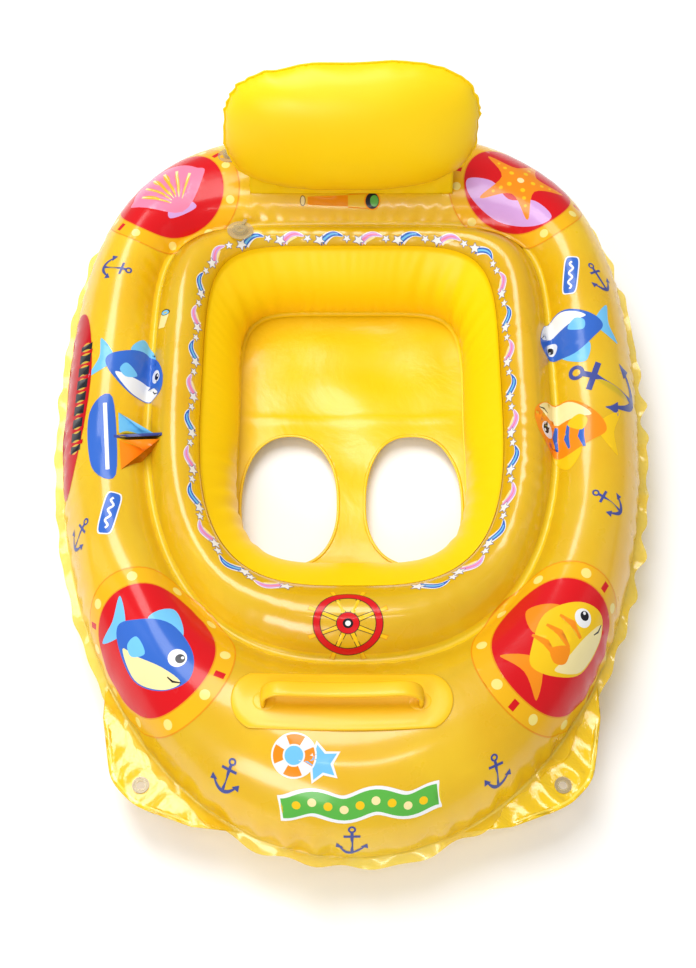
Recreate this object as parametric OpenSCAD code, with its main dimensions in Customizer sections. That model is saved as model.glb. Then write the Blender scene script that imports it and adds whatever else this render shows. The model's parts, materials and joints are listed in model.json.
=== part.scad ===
// Inflatable baby boat, inflated and at rest. Two air chambers (an outer tube and an inner
// ring) share one printed top sheet, welded to a divider web along a groove. A vinyl wall and
// a seat panel with two leg holes close the cockpit, and a pillow backrest folds on its weld.
// The bow points along -Y, the hull stands on Z = 0 and the origin is the middle of its
// footprint. Every plan curve is a superellipse about one centre, so each sheet is a section
// in radius and height, swept round that centre.

/* [Hull plan] */
// Overall length over the weld flange
hull_l = 975; // [940:5:1010]
// Overall width over the weld flange
hull_w = 704; // [690:2:720]
// Distance from the plan centre to the bow tip
bow_reach = 545; // [530:5:560]
// Width of the weld flange round the hull
flange_w = 15; // [12:1:18]
// Half width of the groove between the two chambers
groove_half_w = 235; // [232:1:238]
// Half width of the cockpit rim
rim_half_w = 174; // [172:1:176]
// Half width of the weld round the seat panel
floor_half_w = 142; // [141:1:143]

/* [Hull section] */
// Height of the flange plane
seam_z = 75; // [72:1:78]
// Height of the outer tube's crown above the flange plane, amidships
tube_rise = 76; // [74:1:80]
// Extra height of the crown at the bow
bow_rise = 14; // [8:1:18]
// Extra height of the crown at the stern
stern_rise = 5; // [3:1:6]
// Height of the groove between the chambers
groove_z = 125; // [122:1:128]
// Height of the cockpit rim
rim_z = 130; // [127:1:133]
// Rise of the inner ring over its weld lines, as a share of its width
ring_crown = 0.38; // [0.34:0.01:0.42]
// Distance that the cockpit wall bulges inward
wall_bulge = 20; // [18:1:21]
// Extra bulge of the wall at the bow
bow_bulge = 8; // [6:1:9]
// Height of the seat panel's upper face
floor_z = 22; // [20:1:24]

/* [Vinyl] */
// Thickness of the hull sheets
sheet_t = 0.4; // [0.3:0.05:0.5]
// Thickness of the seat panel
seat_t = 0.6; // [0.5:0.05:0.8]
// Thickness of the pillow's sheets
pillow_t = 0.5; // [0.4:0.05:0.6]

/* [Seat] */
// Distance of each leg hole's centre from the middle
leg_x = 74; // [73:0.5:74]
// Half width of a leg hole
leg_half_w = 57; // [55:0.5:57]
// Half length of a leg hole
leg_half_l = 94; // [90:1:96]
// Width of the hem round a leg hole
hem_w = 3; // [3:0.5:4]
// Thickness of that hem
hem_t = 1.2; // [0.8:0.1:1.6]

/* [Bow handle] */
// Distance of the handle from the plan centre
handle_reach = 395; // [390:1:400]
// Sideways place of the handle, which is welded on a little to port
handle_x = -10; // [-12:1:0]
// Length of the handle's patch
patch_l = 226; // [220:1:232]
// Width of the handle's patch
patch_w = 64; // [60:1:68]
// Length of the grip over its end pads
grip_l = 166; // [160:1:172]
// Width of the grip bar
grip_w = 18; // [16:1:20]
// Thickness of the grip bar
grip_t = 6; // [5:0.5:7]
// Height of the finger gap under the grip
grip_gap = 17; // [15:1:20]

/* [Tow flaps] */
// Thickness of a flap
flap_t = 0.6; // [0.5:0.05:0.8]
// Radius of the tow hole
tow_r = 4.5; // [4:0.25:5]
// Radius of the eyelet round that hole
eyelet_r = 9; // [8.5:0.25:10]

/* [Backrest] */
// Distance of the fold line from the plan centre
fold_reach = 275; // [272:1:278]
// Lean of the backrest behind upright, in degrees
lean = 20; // [18:1:22]
// Half width of the pillow inside its seam
pillow_half_w = 147; // [144:1:150]
// Half height of the pillow inside its seam
pillow_half_h = 78; // [76:1:80]
// Depth of each pillow sheet
pillow_d = 44; // [40:1:45]
// Width of the pillow's seam
pillow_seam = 5; // [4:0.5:6]
// Width of the base panel under the pillow
panel_w = 250; // [240:2:256]

/* [Valves] */
// Radius of a valve's weld flange
valve_r = 16; // [15:0.5:18]
// Outer radius of the stem
stem_r = 6.6; // [6.4:0.1:6.8]
// Radius of the air way
air_r = 4.2; // [4:0.1:4.4]
// Depth of the stem inside the chamber
stem_depth = 20; // [18:1:22]

/* [Hidden] */

YELLOW = "#f9d100";
AMBER = "#f3b92a";
CLEAR = "#e9e2c4";

plan_y = bow_reach - hull_l / 2;
stern_reach = hull_l - bow_reach;

// Plan curves: half width, bow reach, stern reach, bow power, stern power
SEAM = [hull_w / 2, bow_reach, stern_reach, 2.05, 2.8];
GROOVE = [groove_half_w, bow_reach - 210, stern_reach - 185, 2.5, 5.5];
RIM = [rim_half_w, bow_reach - 295, stern_reach - 220, 3.2, 5.3];
FLOOR = [floor_half_w, bow_reach - 350, stern_reach - 244, 4.2, 6];

STEP = 5;
ARC_STEPS = 12;
RING_STEPS = 8;
WALL_STEPS = 8;
groove_band = 6;
rim_band = 6;
floor_band = 6;
// The sole is pressed flat where the tube stands on the ground
sole = 3;
lift = 0.6;

// Radius of a plan curve in the direction a
function plan_r(curve, a) =
    let (reach = sin(a) < 0 ? curve[1] : curve[2], power = sin(a) < 0 ? curve[3] : curve[4])
    pow(pow(abs(cos(a)) / curve[0], power) + pow(abs(sin(a)) / reach, power), -1 / power);

// Height of the outer tube's crown above the flange plane in the direction a
function crown(a) =
    tube_rise + (sin(a) < 0 ? bow_rise : stern_rise) * pow(sin(a), 2);

// Arc of the outer tube in the direction a: half width, centre radius and end angle,
// for a half height h and a weld line at the height drop away from the flange plane
function tube_arc(a, h, drop) =
    let (edge = plan_r(SEAM, a) - flange_w, weld = plan_r(GROOVE, a) + groove_band / 2)
    let (stop = asin(drop / h), half = (edge - weld) / (1 + cos(stop)))
    [half, edge - half, 180 - stop];

// Height of the hull's upper face at a point of the outer tube
function hull_z(x, y) =
    let (a = atan2(y - plan_y, x), rise = crown(a), arc = tube_arc(a, rise, groove_z - seam_z))
    let (share = (norm([x, y - plan_y]) - arc[1]) / arc[0])
    seam_z + rise * sqrt(1 - share * share);

// Normal of the hull's upper face at that point
function hull_n(x, y) =
    [hull_z(x - 1, y) - hull_z(x + 1, y), hull_z(x, y - 1) - hull_z(x, y + 1), 2];

// Height and normal of the hull's upper face at a point of the inner ring
function ring_z(x, y) =
    let (a = atan2(y - plan_y, x), weld = plan_r(GROOVE, a), rim = plan_r(RIM, a))
    let (inner = weld - groove_band / 2, u = (norm([x, y - plan_y]) - inner) / (rim - inner))
    groove_z + (rim_z - groove_z) * u + ring_crown * (weld - rim) * pow(sin(180 * u), 0.75);

function ring_n(x, y) =
    [ring_z(x - 1, y) - ring_z(x + 1, y), ring_z(x, y - 1) - ring_z(x, y + 1), 2];

// Sections, as lists of radius and height on the face that air doesn't touch
function top_section(a) =
    let (edge = plan_r(SEAM, a), weld = plan_r(GROOVE, a), rim = plan_r(RIM, a))
    let (rise = crown(a), arc = tube_arc(a, rise, groove_z - seam_z))
    let (inner = weld - groove_band / 2)
    [
        [edge, seam_z + sheet_t],
        [edge - flange_w, seam_z + sheet_t],
        for (i = [1:ARC_STEPS])
            let (t = arc[2] * i / ARC_STEPS)
            [arc[1] + arc[0] * cos(t), seam_z + rise * sin(t)],
        for (i = [0:RING_STEPS])
            let (u = i / RING_STEPS)
            [inner + (rim - inner) * u,
             groove_z + (rim_z - groove_z) * u
             + ring_crown * (weld - rim) * pow(sin(180 * u), 0.75)],
        [rim, rim_z - rim_band]
    ];

function bottom_section(a) =
    let (edge = plan_r(SEAM, a), weld = plan_r(GROOVE, a), floor_r = plan_r(FLOOR, a))
    let (drop = groove_z - seam_z, arc = tube_arc(a, seam_z + sole, drop))
    let (inner = weld - groove_band / 2, weld_z = seam_z - drop, band_z = floor_z - seat_t - sheet_t)
    [
        [edge, seam_z - sheet_t],
        [edge - flange_w, seam_z - sheet_t],
        for (i = [1:ARC_STEPS])
            let (t = arc[2] * i / ARC_STEPS)
            [arc[1] + arc[0] * cos(t), max(0, seam_z - (seam_z + sole) * sin(t))],
        for (i = [0:RING_STEPS])
            let (u = i / RING_STEPS)
            [inner + (floor_r - inner) * u,
             max(0, weld_z + (band_z - weld_z) * u - (weld_z + sole) * pow(sin(180 * u), 0.75))],
        [floor_r - floor_band, band_z]
    ];

function wall_section(a) =
    let (rim = plan_r(RIM, a) - sheet_t, floor_r = plan_r(FLOOR, a))
    let (top = rim_z - rim_band, base = floor_z + sheet_t)
    let (bulge = wall_bulge + bow_bulge * pow(max(0, -sin(a)), 4))
    [
        [rim, rim_z],
        for (i = [0:WALL_STEPS])
            let (u = i / WALL_STEPS)
            [rim + (floor_r - rim) * u - bulge * sin(180 * u), top + (base - top) * u],
        [floor_r - floor_band, base]
    ];

// I-shaped web between the chambers, with its upper and lower weld bands
function divider_section(a) =
    let (weld = plan_r(GROOVE, a), half = sheet_t / 2, band = groove_band / 2)
    let (top = groove_z - sheet_t, base = 2 * seam_z - groove_z + sheet_t)
    [
        [weld + band, top], [weld - band, top],
        [weld - band, top - sheet_t], [weld - half, top - sheet_t],
        [weld - half, base + sheet_t], [weld - band, base + sheet_t],
        [weld - band, base], [weld + band, base],
        [weld + band, base + sheet_t], [weld + half, base + sheet_t],
        [weld + half, top - sheet_t], [weld + band, top - sheet_t]
    ];

// Left-hand normal of the segment from p to q
function side_n(p, q) = [p.y - q.y, q.x - p.x] / norm(q - p);

// A section moved sideways by d, with true mitres at its corners
function shifted(path, d) =
    [for (i = [0:len(path) - 1])
        let (before = side_n(path[max(i - 1, 0)], path[max(i, 1)]))
        let (after = side_n(path[min(i, len(path) - 2)], path[min(i + 1, len(path) - 1)]))
        path[i] + d * (before + after) / (1 + before * after)];

function reversed(list) = [for (i = [len(list) - 1:-1:0]) list[i]];

// A closed loop of section corners for a sheet whose thickness d lies to the path's left
function sheet_loop(path, d) =
    d > 0 ? concat(path, reversed(shifted(path, d))) : concat(shifted(path, d), reversed(path));

// Sweep of closed sections, one for each direction round the plan centre
module swept(sections) {
    n = len(sections[0]);
    m = len(sections);
    points = [for (k = [0:m - 1]) for (p = sections[k])
        [p[0] * cos(k * STEP), plan_y + p[0] * sin(k * STEP), p[1]]];
    faces = [for (k = [0:m - 1]) for (i = [0:n - 1])
        let (j = (i + 1) % n, next = (k + 1) % m)
        let (a = k * n + i, b = k * n + j, c = next * n + j, d = next * n + i)
        each [[a, b, c], [a, c, d]]];
    polyhedron(points, faces);
}

// Point k of a superellipse with n points, half axes a and b
function oval(a, b, power, k, n) =
    let (t = 360 * k / n, c = cos(t), s = sin(t))
    [a * sign(c) * pow(abs(c), 2 / power), b * sign(s) * pow(abs(s), 2 / power)];

function oval_points(a, b, power, n = 48) = [for (k = [0:n - 1]) oval(a, b, power, k, n)];

// Thin sheet over an oval: rings of points, from the middle to the edge, on two faces.
// Each point holds the upper face's place and "down" leads from there to the lower face.
module oval_sheet(rings, down) {
    n = len(rings[1]);
    m = len(rings) - 1;
    upper = [rings[0][0], for (r = [1:m]) each rings[r]];
    size = len(upper);
    points = concat(upper, [for (p = upper) p + down]);
    faces = [
        for (k = [0:n - 1]) let (j = (k + 1) % n) each [
            [0, 1 + j, 1 + k],
            [size, size + 1 + k, size + 1 + j],
            for (r = [0:m - 2]) let (a = 1 + r * n, b = a + n) each [
                [a + k, a + j, b + j], [a + k, b + j, b + k],
                [size + a + j, size + a + k, size + b + j],
                [size + a + k, size + b + k, size + b + j]
            ],
            let (a = 1 + (m - 1) * n) each [
                [a + k, a + j, size + a + j], [a + k, size + a + j, size + a + k]
            ]
        ]
    ];
    polyhedron(points, faces);
}

// Stands its children on a surface point, with their Z axis along the normal n
module stand_on(p, n) {
    translate(p) rotate([0, acos(n.z / norm(n)), atan2(n.y, n.x)]) children();
}

// Hull sheets

DIRECTIONS = [0:STEP:360 - STEP];

module top_sheet() {
    color(AMBER) difference() {
        swept([for (a = DIRECTIONS) sheet_loop(top_section(a), sheet_t)]);
        stand_on(outer_valve_p, outer_valve_n) stem_hole();
        stand_on(ring_valve_p, ring_valve_n) stem_hole();
    }
}

module bottom_sheet() {
    color(AMBER) swept([for (a = DIRECTIONS) sheet_loop(bottom_section(a), -sheet_t)]);
}

module chamber_divider() {
    color(YELLOW) swept([for (a = DIRECTIONS) divider_section(a)]);
}

module inner_wall() {
    color(YELLOW) swept([for (a = DIRECTIONS) sheet_loop(wall_section(a), sheet_t)]);
}

// Seat

leg_y = plan_y - 92;
leg_power = 2.3;
leg_bow_l = leg_half_l - 14;

// Leg hole outline, grown outwards by a margin. Its bow half is the shorter one.
function leg_outline(margin) =
    [for (q = oval_points(leg_half_w + margin, 1, leg_power))
        [q.x, q.y * ((q.y < 0 ? leg_bow_l : leg_half_l) + margin)]];

module seat_panel() {
    color(YELLOW) translate([0, 0, floor_z - seat_t]) linear_extrude(seat_t) difference() {
        polygon([for (a = DIRECTIONS) plan_r(FLOOR, a) * [cos(a), sin(a)] + [0, plan_y]]);
        for (side = [-1, 1])
            translate([side * leg_x, leg_y]) polygon(leg_outline(0));
    }
}

module leg_hole_hem(side) {
    color(YELLOW) translate([side * leg_x, leg_y, floor_z]) linear_extrude(hem_t) difference() {
        polygon(leg_outline(hem_w));
        polygon(leg_outline(0));
    }
}

module leg_hole_hem_left() { leg_hole_hem(-1); }
module leg_hole_hem_right() { leg_hole_hem(1); }

// Bow handle

handle_y = plan_y - handle_reach;
patch_power = 4.5;
patch_t = 0.6;
pad_t = 1.6;
pad_x = grip_l / 2 - 13;
GRIP_STEPS = 20;
GRIP_SIDES = 12;

module handle_patch() {
    rings = [for (share = [0, 0.3, 0.6, 0.85, 1])
        [for (q = oval_points(patch_l / 2, patch_w / 2, patch_power, 40))
            let (x = handle_x + q.x * share, y = handle_y + q.y * share)
            [x, y, hull_z(x, y) + lift + patch_t]]];
    color(YELLOW) oval_sheet(rings, [0, 0, -patch_t]);
}

// Height of the grip's centre line over its pads, a smooth arch with a long level middle
function grip_arch(x) = (grip_gap + grip_t / 2) * pow(1 - pow(abs(x) / pad_x, 5), 0.8);

module handle_grip() {
    n = hull_n(handle_x, handle_y);
    pad_z = hull_z(handle_x - grip_l / 2, handle_y) + lift + patch_t + lift;
    color(YELLOW) translate([handle_x, handle_y, pad_z]) rotate([-atan2(n.y, n.z), 0, 0]) union() {
        for (side = [-1, 1])
            translate([side * pad_x, 0, 0])
                linear_extrude(pad_t) polygon(oval_points(13, grip_w / 2 + 3, 2.2, 32));
        grip_bar();
    }
}

// Flat oval bar swept along the arch, with its ends inside the pads
module grip_bar() {
    last = pad_x - 1;
    rings = [for (i = [0:GRIP_STEPS])
        let (x = last * sin(90 * (2 * i / GRIP_STEPS - 1)), z = pad_t / 2 + grip_arch(x))
        [for (q = oval_points(grip_w / 2, grip_t / 2, 2.6, GRIP_SIDES))
            [x, q.x, z + q.y]]];
    n = GRIP_SIDES;
    faces = concat(
        [[for (k = [0:n - 1]) k], [for (k = [n - 1:-1:0]) GRIP_STEPS * n + k]],
        [for (i = [0:GRIP_STEPS - 1]) for (k = [0:n - 1])
            let (j = (k + 1) % n, a = i * n, b = a + n)
            each [[a + k, b + k, b + j], [a + k, b + j, a + j]]]);
    polyhedron([for (ring = rings) each ring], faces);
}

// Tow flaps, welded under the flange at both sides of the bow

tow_x = 221;
tow_y = plan_y - 454;
flap_z = seam_z - sheet_t - flap_t;
// Outer corners of the left flap, from the side of the hull round to the bow
FLAP_CORNERS = [[-266, plan_y - 380], [-254, plan_y - 448], [-226, plan_y - 477],
    [-166, plan_y - 498]];
flap_from = 232;
flap_to = 257;
corner_cut = 12;

// Polyline with each corner replaced by a short curve
function softened(points) =
    [for (i = [0:len(points) - 1])
        let (p = points[i], before = points[max(i - 1, 0)], after = points[min(i + 1, len(points) - 1)])
        if (i == 0 || i == len(points) - 1) p
        else
            let (p0 = p + corner_cut * (before - p) / norm(before - p))
            let (p2 = p + corner_cut * (after - p) / norm(after - p))
            for (t = [0:0.25:1]) (1 - t) * (1 - t) * p0 + 2 * t * (1 - t) * p + t * t * p2];

module tow_flap(side) {
    weld = [for (a = [flap_to:-STEP:flap_from])
        (plan_r(SEAM, a) - flange_w + 3) * [cos(a), sin(a)] + [0, plan_y]];
    color(YELLOW) mirror([side > 0 ? 1 : 0, 0, 0]) translate([0, 0, flap_z]) difference() {
        linear_extrude(flap_t) polygon(concat(weld, softened(FLAP_CORNERS)));
        translate([-tow_x, tow_y, -1]) cylinder(h = flap_t + 2, r = tow_r + 1.3, $fn = 48);
    }
}

// Grommet round the tow hole, clamped over both faces of the flap
module tow_eyelet(side) {
    rim_t = 1.1;
    neck_r = tow_r + 1.2;
    color(CLEAR) translate([side * tow_x, tow_y, flap_z]) rotate_extrude($fn = 64) polygon([
        [tow_r, -rim_t], [eyelet_r, -rim_t], [eyelet_r, 0], [neck_r, 0],
        [neck_r, flap_t], [eyelet_r, flap_t], [eyelet_r, flap_t + rim_t], [tow_r, flap_t + rim_t]
    ]);
}

module tow_flap_left() { tow_flap(-1); }
module tow_flap_right() { tow_flap(1); }
module tow_eyelet_left() { tow_eyelet(-1); }
module tow_eyelet_right() { tow_eyelet(1); }

// Backrest, built standing on its fold line with its front towards -Y, then leaned back

fold_y = plan_y + fold_reach;
fold_z = max(hull_z(0, fold_y), hull_z(panel_w / 2, fold_y)) + 0.8;
pillow_gap = 9;
pillow_mid = pillow_gap + pillow_seam + pillow_half_h;
pillow_power = 2.7;

// Depth of a pillow sheet at a share of the way from its middle to its seam
function pillow_depth(share) = pillow_d * pow(1 - pow(share, 2.4), 0.6);

module on_backrest() {
    translate([0, fold_y, fold_z]) rotate([-lean, 0, 0]) children();
}

module pillow_sheet(front) {
    side = front ? -1 : 1;
    seam = [for (q = oval_points(pillow_half_w + pillow_seam, pillow_half_h + pillow_seam, pillow_power))
        [side * q.x, side * pillow_t, pillow_mid + q.y]];
    rings = concat([for (share = [0, 0.3, 0.55, 0.75, 0.88, 0.96, 1])
        [for (q = oval_points(pillow_half_w, pillow_half_h, pillow_power))
            [side * q.x * share, side * (pillow_t + pillow_depth(share)), pillow_mid + q.y * share]]],
        [seam]);
    color(YELLOW) on_backrest() oval_sheet(rings, [0, -side * pillow_t, 0]);
}

module backrest_front_sheet() { pillow_sheet(true); }

module backrest_rear_sheet() {
    difference() {
        pillow_sheet(false);
        on_backrest() stand_on(back_valve_p, back_valve_n) stem_hole();
    }
}

// Flat skirt from the fold line up to the pillow's seam, behind its rear sheet
module backrest_base_panel() {
    a = pillow_half_w + pillow_seam / 2;
    b = pillow_half_h + pillow_seam / 2;
    PANEL_STEPS = 20;
    edge = [for (i = [0:PANEL_STEPS])
        let (x = panel_w * (i / PANEL_STEPS - 0.5))
        [x, pillow_mid - b * pow(1 - pow(abs(x) / a, pillow_power), 1 / pillow_power)]];
    color(YELLOW) on_backrest() translate([0, 2 * pillow_t, 0]) rotate([90, 0, 0])
        linear_extrude(pillow_t) polygon(concat([[panel_w / 2, 1], [-panel_w / 2, 1]], edge));
}

// Valves. Each stands on its sheet with Z along the outward normal: a weld flange, a stem
// that is pushed in to lie flush and pulled out to inflate, its plug, the plug's strap and
// the check flap at the foot of the stem.

flange_t = 0.8;
flange_base = 0.4;
stem_gap = 0.4;
lip_z = flange_base + flange_t + stem_gap;
lip_t = 1;
lip_r = stem_r + 2.9;
cap_z = lip_z + lip_t + 0.3;
cap_t = 1.4;
cap_r = stem_r + 0.9;
flap_disc_t = 0.6;

outer_valve_a = 114.3;
outer_valve_reach = 367;
outer_valve_xy = outer_valve_reach * [cos(outer_valve_a), sin(outer_valve_a)] + [0, plan_y];
outer_valve_p = [outer_valve_xy.x, outer_valve_xy.y, hull_z(outer_valve_xy.x, outer_valve_xy.y)];
outer_valve_n = hull_n(outer_valve_xy.x, outer_valve_xy.y);

ring_valve_a = 121.5;
ring_valve_weld = plan_r(GROOVE, ring_valve_a);
ring_valve_rim = plan_r(RIM, ring_valve_a);
ring_valve_r = (ring_valve_weld - groove_band / 2 + ring_valve_rim) / 2;
ring_valve_xy = ring_valve_r * [cos(ring_valve_a), sin(ring_valve_a)] + [0, plan_y];
ring_valve_p = [ring_valve_xy.x, ring_valve_xy.y, ring_z(ring_valve_xy.x, ring_valve_xy.y)];
ring_valve_n = ring_n(ring_valve_xy.x, ring_valve_xy.y);

back_valve_x = 78;
back_valve_share = back_valve_x / pillow_half_w;
back_valve_p = [back_valve_x, pillow_t + pillow_depth(back_valve_share), pillow_mid];
back_valve_n = [pillow_depth(back_valve_share - 0.01) - pillow_depth(back_valve_share + 0.01),
    0.02 * pillow_half_w, 0];

module stem_hole() {
    translate([0, 0, -12]) cylinder(h = 24, r = stem_r + 0.8, $fn = 48);
}

module valve_flange() {
    color(CLEAR) translate([0, 0, flange_base]) difference() {
        cylinder(h = flange_t, r = valve_r, $fn = 64);
        translate([0, 0, -1]) cylinder(h = flange_t + 2, r = stem_r + stem_gap, $fn = 64);
    }
}

module valve_stem() {
    stop_r = stem_r + 1.3;
    color(CLEAR) rotate_extrude($fn = 64) polygon([
        [air_r, -stem_depth], [stop_r, -stem_depth], [stop_r, 1.5 - stem_depth],
        [stem_r, 1.5 - stem_depth], [stem_r, lip_z], [lip_r, lip_z],
        [lip_r, lip_z + lip_t], [air_r, lip_z + lip_t]
    ]);
}

module valve_plug() {
    nose_r = air_r - 0.4;
    color(CLEAR) rotate_extrude($fn = 64) polygon([
        [0, cap_z - 7], [nose_r - 0.6, cap_z - 7], [nose_r, cap_z - 5.5], [nose_r, cap_z],
        [cap_r, cap_z], [cap_r, cap_z + cap_t - 0.4], [cap_r - 0.4, cap_z + cap_t], [0, cap_z + cap_t]
    ]);
}

// Strap from the stem's lip out and back to the edge of the cap
module valve_strap() {
    strap_w = 4;
    strap_l = 18;
    strap_t = 0.8;
    top = cap_z + cap_t;
    color(CLEAR) difference() {
        translate([0, -strap_w / 2, lip_z]) cube([strap_l, strap_w, top - lip_z]);
        translate([0, -strap_w, lip_z + strap_t])
            cube([strap_l - strap_t, 2 * strap_w, top - lip_z - 2 * strap_t]);
        translate([0, 0, lip_z - 1]) cylinder(h = lip_t + 1.2, r = lip_r + 0.05, $fn = 64);
        cylinder(h = top + 1, r = cap_r + 0.5, $fn = 64);
    }
}

module valve_check_flap() {
    color(CLEAR) translate([0, 0, -stem_depth - 0.4 - flap_disc_t])
        cylinder(h = flap_disc_t, r = stem_r, $fn = 64);
}

module on_outer_valve() { stand_on(outer_valve_p, outer_valve_n) children(); }
module on_ring_valve() { stand_on(ring_valve_p, ring_valve_n) children(); }
module on_backrest_valve() { on_backrest() stand_on(back_valve_p, back_valve_n) children(); }

top_sheet();
bottom_sheet();
chamber_divider();
inner_wall();
seat_panel();
leg_hole_hem_left();
leg_hole_hem_right();
handle_patch();
handle_grip();
tow_flap_left();
tow_flap_right();
tow_eyelet_left();
tow_eyelet_right();
backrest_front_sheet();
backrest_rear_sheet();
backrest_base_panel();
on_outer_valve() valve_flange();  // outer_valve_flange
on_outer_valve() valve_stem();  // outer_valve_stem
on_outer_valve() valve_plug();  // outer_valve_plug
on_outer_valve() valve_strap();  // outer_valve_strap
on_outer_valve() valve_check_flap();  // outer_valve_check_flap
on_ring_valve() valve_flange();  // ring_valve_flange
on_ring_valve() valve_stem();  // ring_valve_stem
on_ring_valve() valve_plug();  // ring_valve_plug
on_ring_valve() valve_strap();  // ring_valve_strap
on_ring_valve() valve_check_flap();  // ring_valve_check_flap
on_backrest_valve() valve_flange();  // backrest_valve_flange
on_backrest_valve() valve_stem();  // backrest_valve_stem
on_backrest_valve() valve_plug();  // backrest_valve_plug
on_backrest_valve() valve_strap();  // backrest_valve_strap
on_backrest_valve() valve_check_flap();  // backrest_valve_check_flap
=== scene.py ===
import json
import math

import bpy
import numpy as np
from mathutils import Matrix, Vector, geometry


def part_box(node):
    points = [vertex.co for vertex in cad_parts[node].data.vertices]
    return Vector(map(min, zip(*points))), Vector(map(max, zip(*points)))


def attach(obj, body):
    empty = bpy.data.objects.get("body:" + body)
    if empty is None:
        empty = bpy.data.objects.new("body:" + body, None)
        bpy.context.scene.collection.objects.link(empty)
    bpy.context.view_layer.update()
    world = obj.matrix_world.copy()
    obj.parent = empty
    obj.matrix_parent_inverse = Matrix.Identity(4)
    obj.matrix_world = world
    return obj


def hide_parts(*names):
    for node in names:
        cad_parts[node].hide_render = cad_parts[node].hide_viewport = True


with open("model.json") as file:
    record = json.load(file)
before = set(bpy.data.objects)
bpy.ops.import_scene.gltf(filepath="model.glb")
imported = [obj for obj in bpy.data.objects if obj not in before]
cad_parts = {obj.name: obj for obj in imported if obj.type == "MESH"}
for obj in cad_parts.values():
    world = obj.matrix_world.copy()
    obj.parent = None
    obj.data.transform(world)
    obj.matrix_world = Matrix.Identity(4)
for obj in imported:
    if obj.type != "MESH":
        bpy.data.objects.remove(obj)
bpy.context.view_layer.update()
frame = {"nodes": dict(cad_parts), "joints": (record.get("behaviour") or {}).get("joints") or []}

# Toy boat: an inflatable baby boat of amber film with opaque yellow inner parts.
# Metres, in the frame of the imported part: bow towards -Y, floor at z 0.

PI = math.pi
TURN = 2 * PI

# Driving sizes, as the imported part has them

HULL_LOW, HULL_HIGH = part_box("top_sheet")
BOW_REACH = 0.545
PLAN_Y = HULL_LOW.y + BOW_REACH
STERN_REACH = HULL_HIGH.y - PLAN_Y
SEAM_Z = 0.075
FLANGE_W = 0.015
TUBE_RISE, BOW_RISE, STERN_RISE = 0.076, 0.014, 0.005
GROOVE_Z, RIM_Z, FLOOR_Z = 0.125, 0.130, 0.022
WELD_BAND = 0.006
RING_CROWN = 0.38
WALL_BULGE, BOW_BULGE = 0.020, 0.008
SOLE = 0.003
FILM = 0.0004

# Plan curves: half width, bow reach, stern reach, bow power, stern power.
# A power of 2 is round, a higher one squarer.
SEAM = (HULL_HIGH.x, BOW_REACH, STERN_REACH, 2.05, 2.8)
GROOVE = (0.235, BOW_REACH - 0.210, STERN_REACH - 0.185, 2.5, 5.5)
RIM = (0.174, BOW_REACH - 0.295, STERN_REACH - 0.220, 3.2, 5.3)
FLOOR = (0.142, BOW_REACH - 0.350, STERN_REACH - 0.244, 4.2, 6)

LEG_X, LEG_Y = 0.074, PLAN_Y - 0.092
LEG_HALF_W, LEG_HALF_L, LEG_BOW_L, LEG_POWER = 0.057, 0.094, 0.080, 2.3
HEM_W = 0.003

HANDLE_X, HANDLE_Y = -0.010, PLAN_Y - 0.395
PATCH_L, PATCH_W = 0.226, 0.064
GRIP_L, GRIP_W, GRIP_T, GRIP_GAP = 0.166, 0.018, 0.006, 0.017

FOLD = Vector(next(j["pos_m"] for j in frame["joints"] if j["name"] == "backrest_fold"))
LEAN = math.radians(20)
PILLOW_HALF_W, PILLOW_HALF_H, PILLOW_DEPTH = 0.147, 0.078, 0.044
PILLOW_POWER, PILLOW_SEAM = 2.7, 0.005
PILLOW_CUT, PILLOW_PUFF, PILLOW_PRESSURE = (0.156, 0.090), 0.026, 80
PILLOW_MID = 0.009 + PILLOW_SEAM + PILLOW_HALF_H
PANEL_W = 0.250


# Surfaces of the hull

def lerp(a, b, u):
    return a + (b - a) * u


def plan_radius(curve, a):
    """Radius of a plan curve in the direction a, from the plan centre."""
    half_w, bow, stern, bow_power, stern_power = curve
    c, s = np.abs(np.cos(a)), np.sin(a)
    reach = np.where(s < 0, bow, stern)
    power = np.where(s < 0, bow_power, stern_power)
    return ((c / half_w) ** power + (np.abs(s) / reach) ** power) ** (-1 / power)


def crown(a):
    """Height of the outer tube's crown above the flange plane."""
    return TUBE_RISE + np.where(np.sin(a) < 0, BOW_RISE, STERN_RISE) * np.sin(a) ** 2


def tube_arc(a, height, drop):
    """Centre radius, half width and end angle of the outer tube's arc."""
    edge = plan_radius(SEAM, a) - FLANGE_W
    weld = plan_radius(GROOVE, a) + WELD_BAND / 2
    stop = np.arcsin(drop / height)
    half = (edge - weld) / (1 + np.cos(stop))
    return edge - half, half, PI - stop


def section(a, s, height, end_curve):
    """What both skins share in their sections: the radius at s, the tube's angle t, the share u
    of the way over the inner ring, and the tube's half width and end angle."""
    weld, end = plan_radius(GROOVE, a), plan_radius(end_curve, a)
    centre, half, stop = tube_arc(a, height, GROOVE_Z - SEAM_Z)
    t = np.clip(s, 0, 1) * stop
    u = np.clip(s - 2, 0, 1)
    inner = weld - WELD_BAND / 2
    radius = np.where(s <= 1, centre + half * np.cos(t), lerp(weld + WELD_BAND / 2, inner, s - 1))
    radius = np.where(s < 0, centre + half - s * FLANGE_W, radius)
    return np.where(s > 2, lerp(inner, end, u), radius), t, u, half, stop, inner - end


def ripple(a, seed, low, high):
    """Repeatable uneven wave, about -1 to 1, with low to high crests in a turn."""
    draw = np.random.default_rng(seed)
    total = 0
    for _ in range(6):
        total = total + np.sin(draw.integers(low, high) * a + draw.uniform(0, TURN))
    return total / 3


def hump(x):
    """0 at a weld, 1 at x = 1, and fading out beyond it."""
    x = np.maximum(x, 0)
    return x * np.exp(1 - x)


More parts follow.
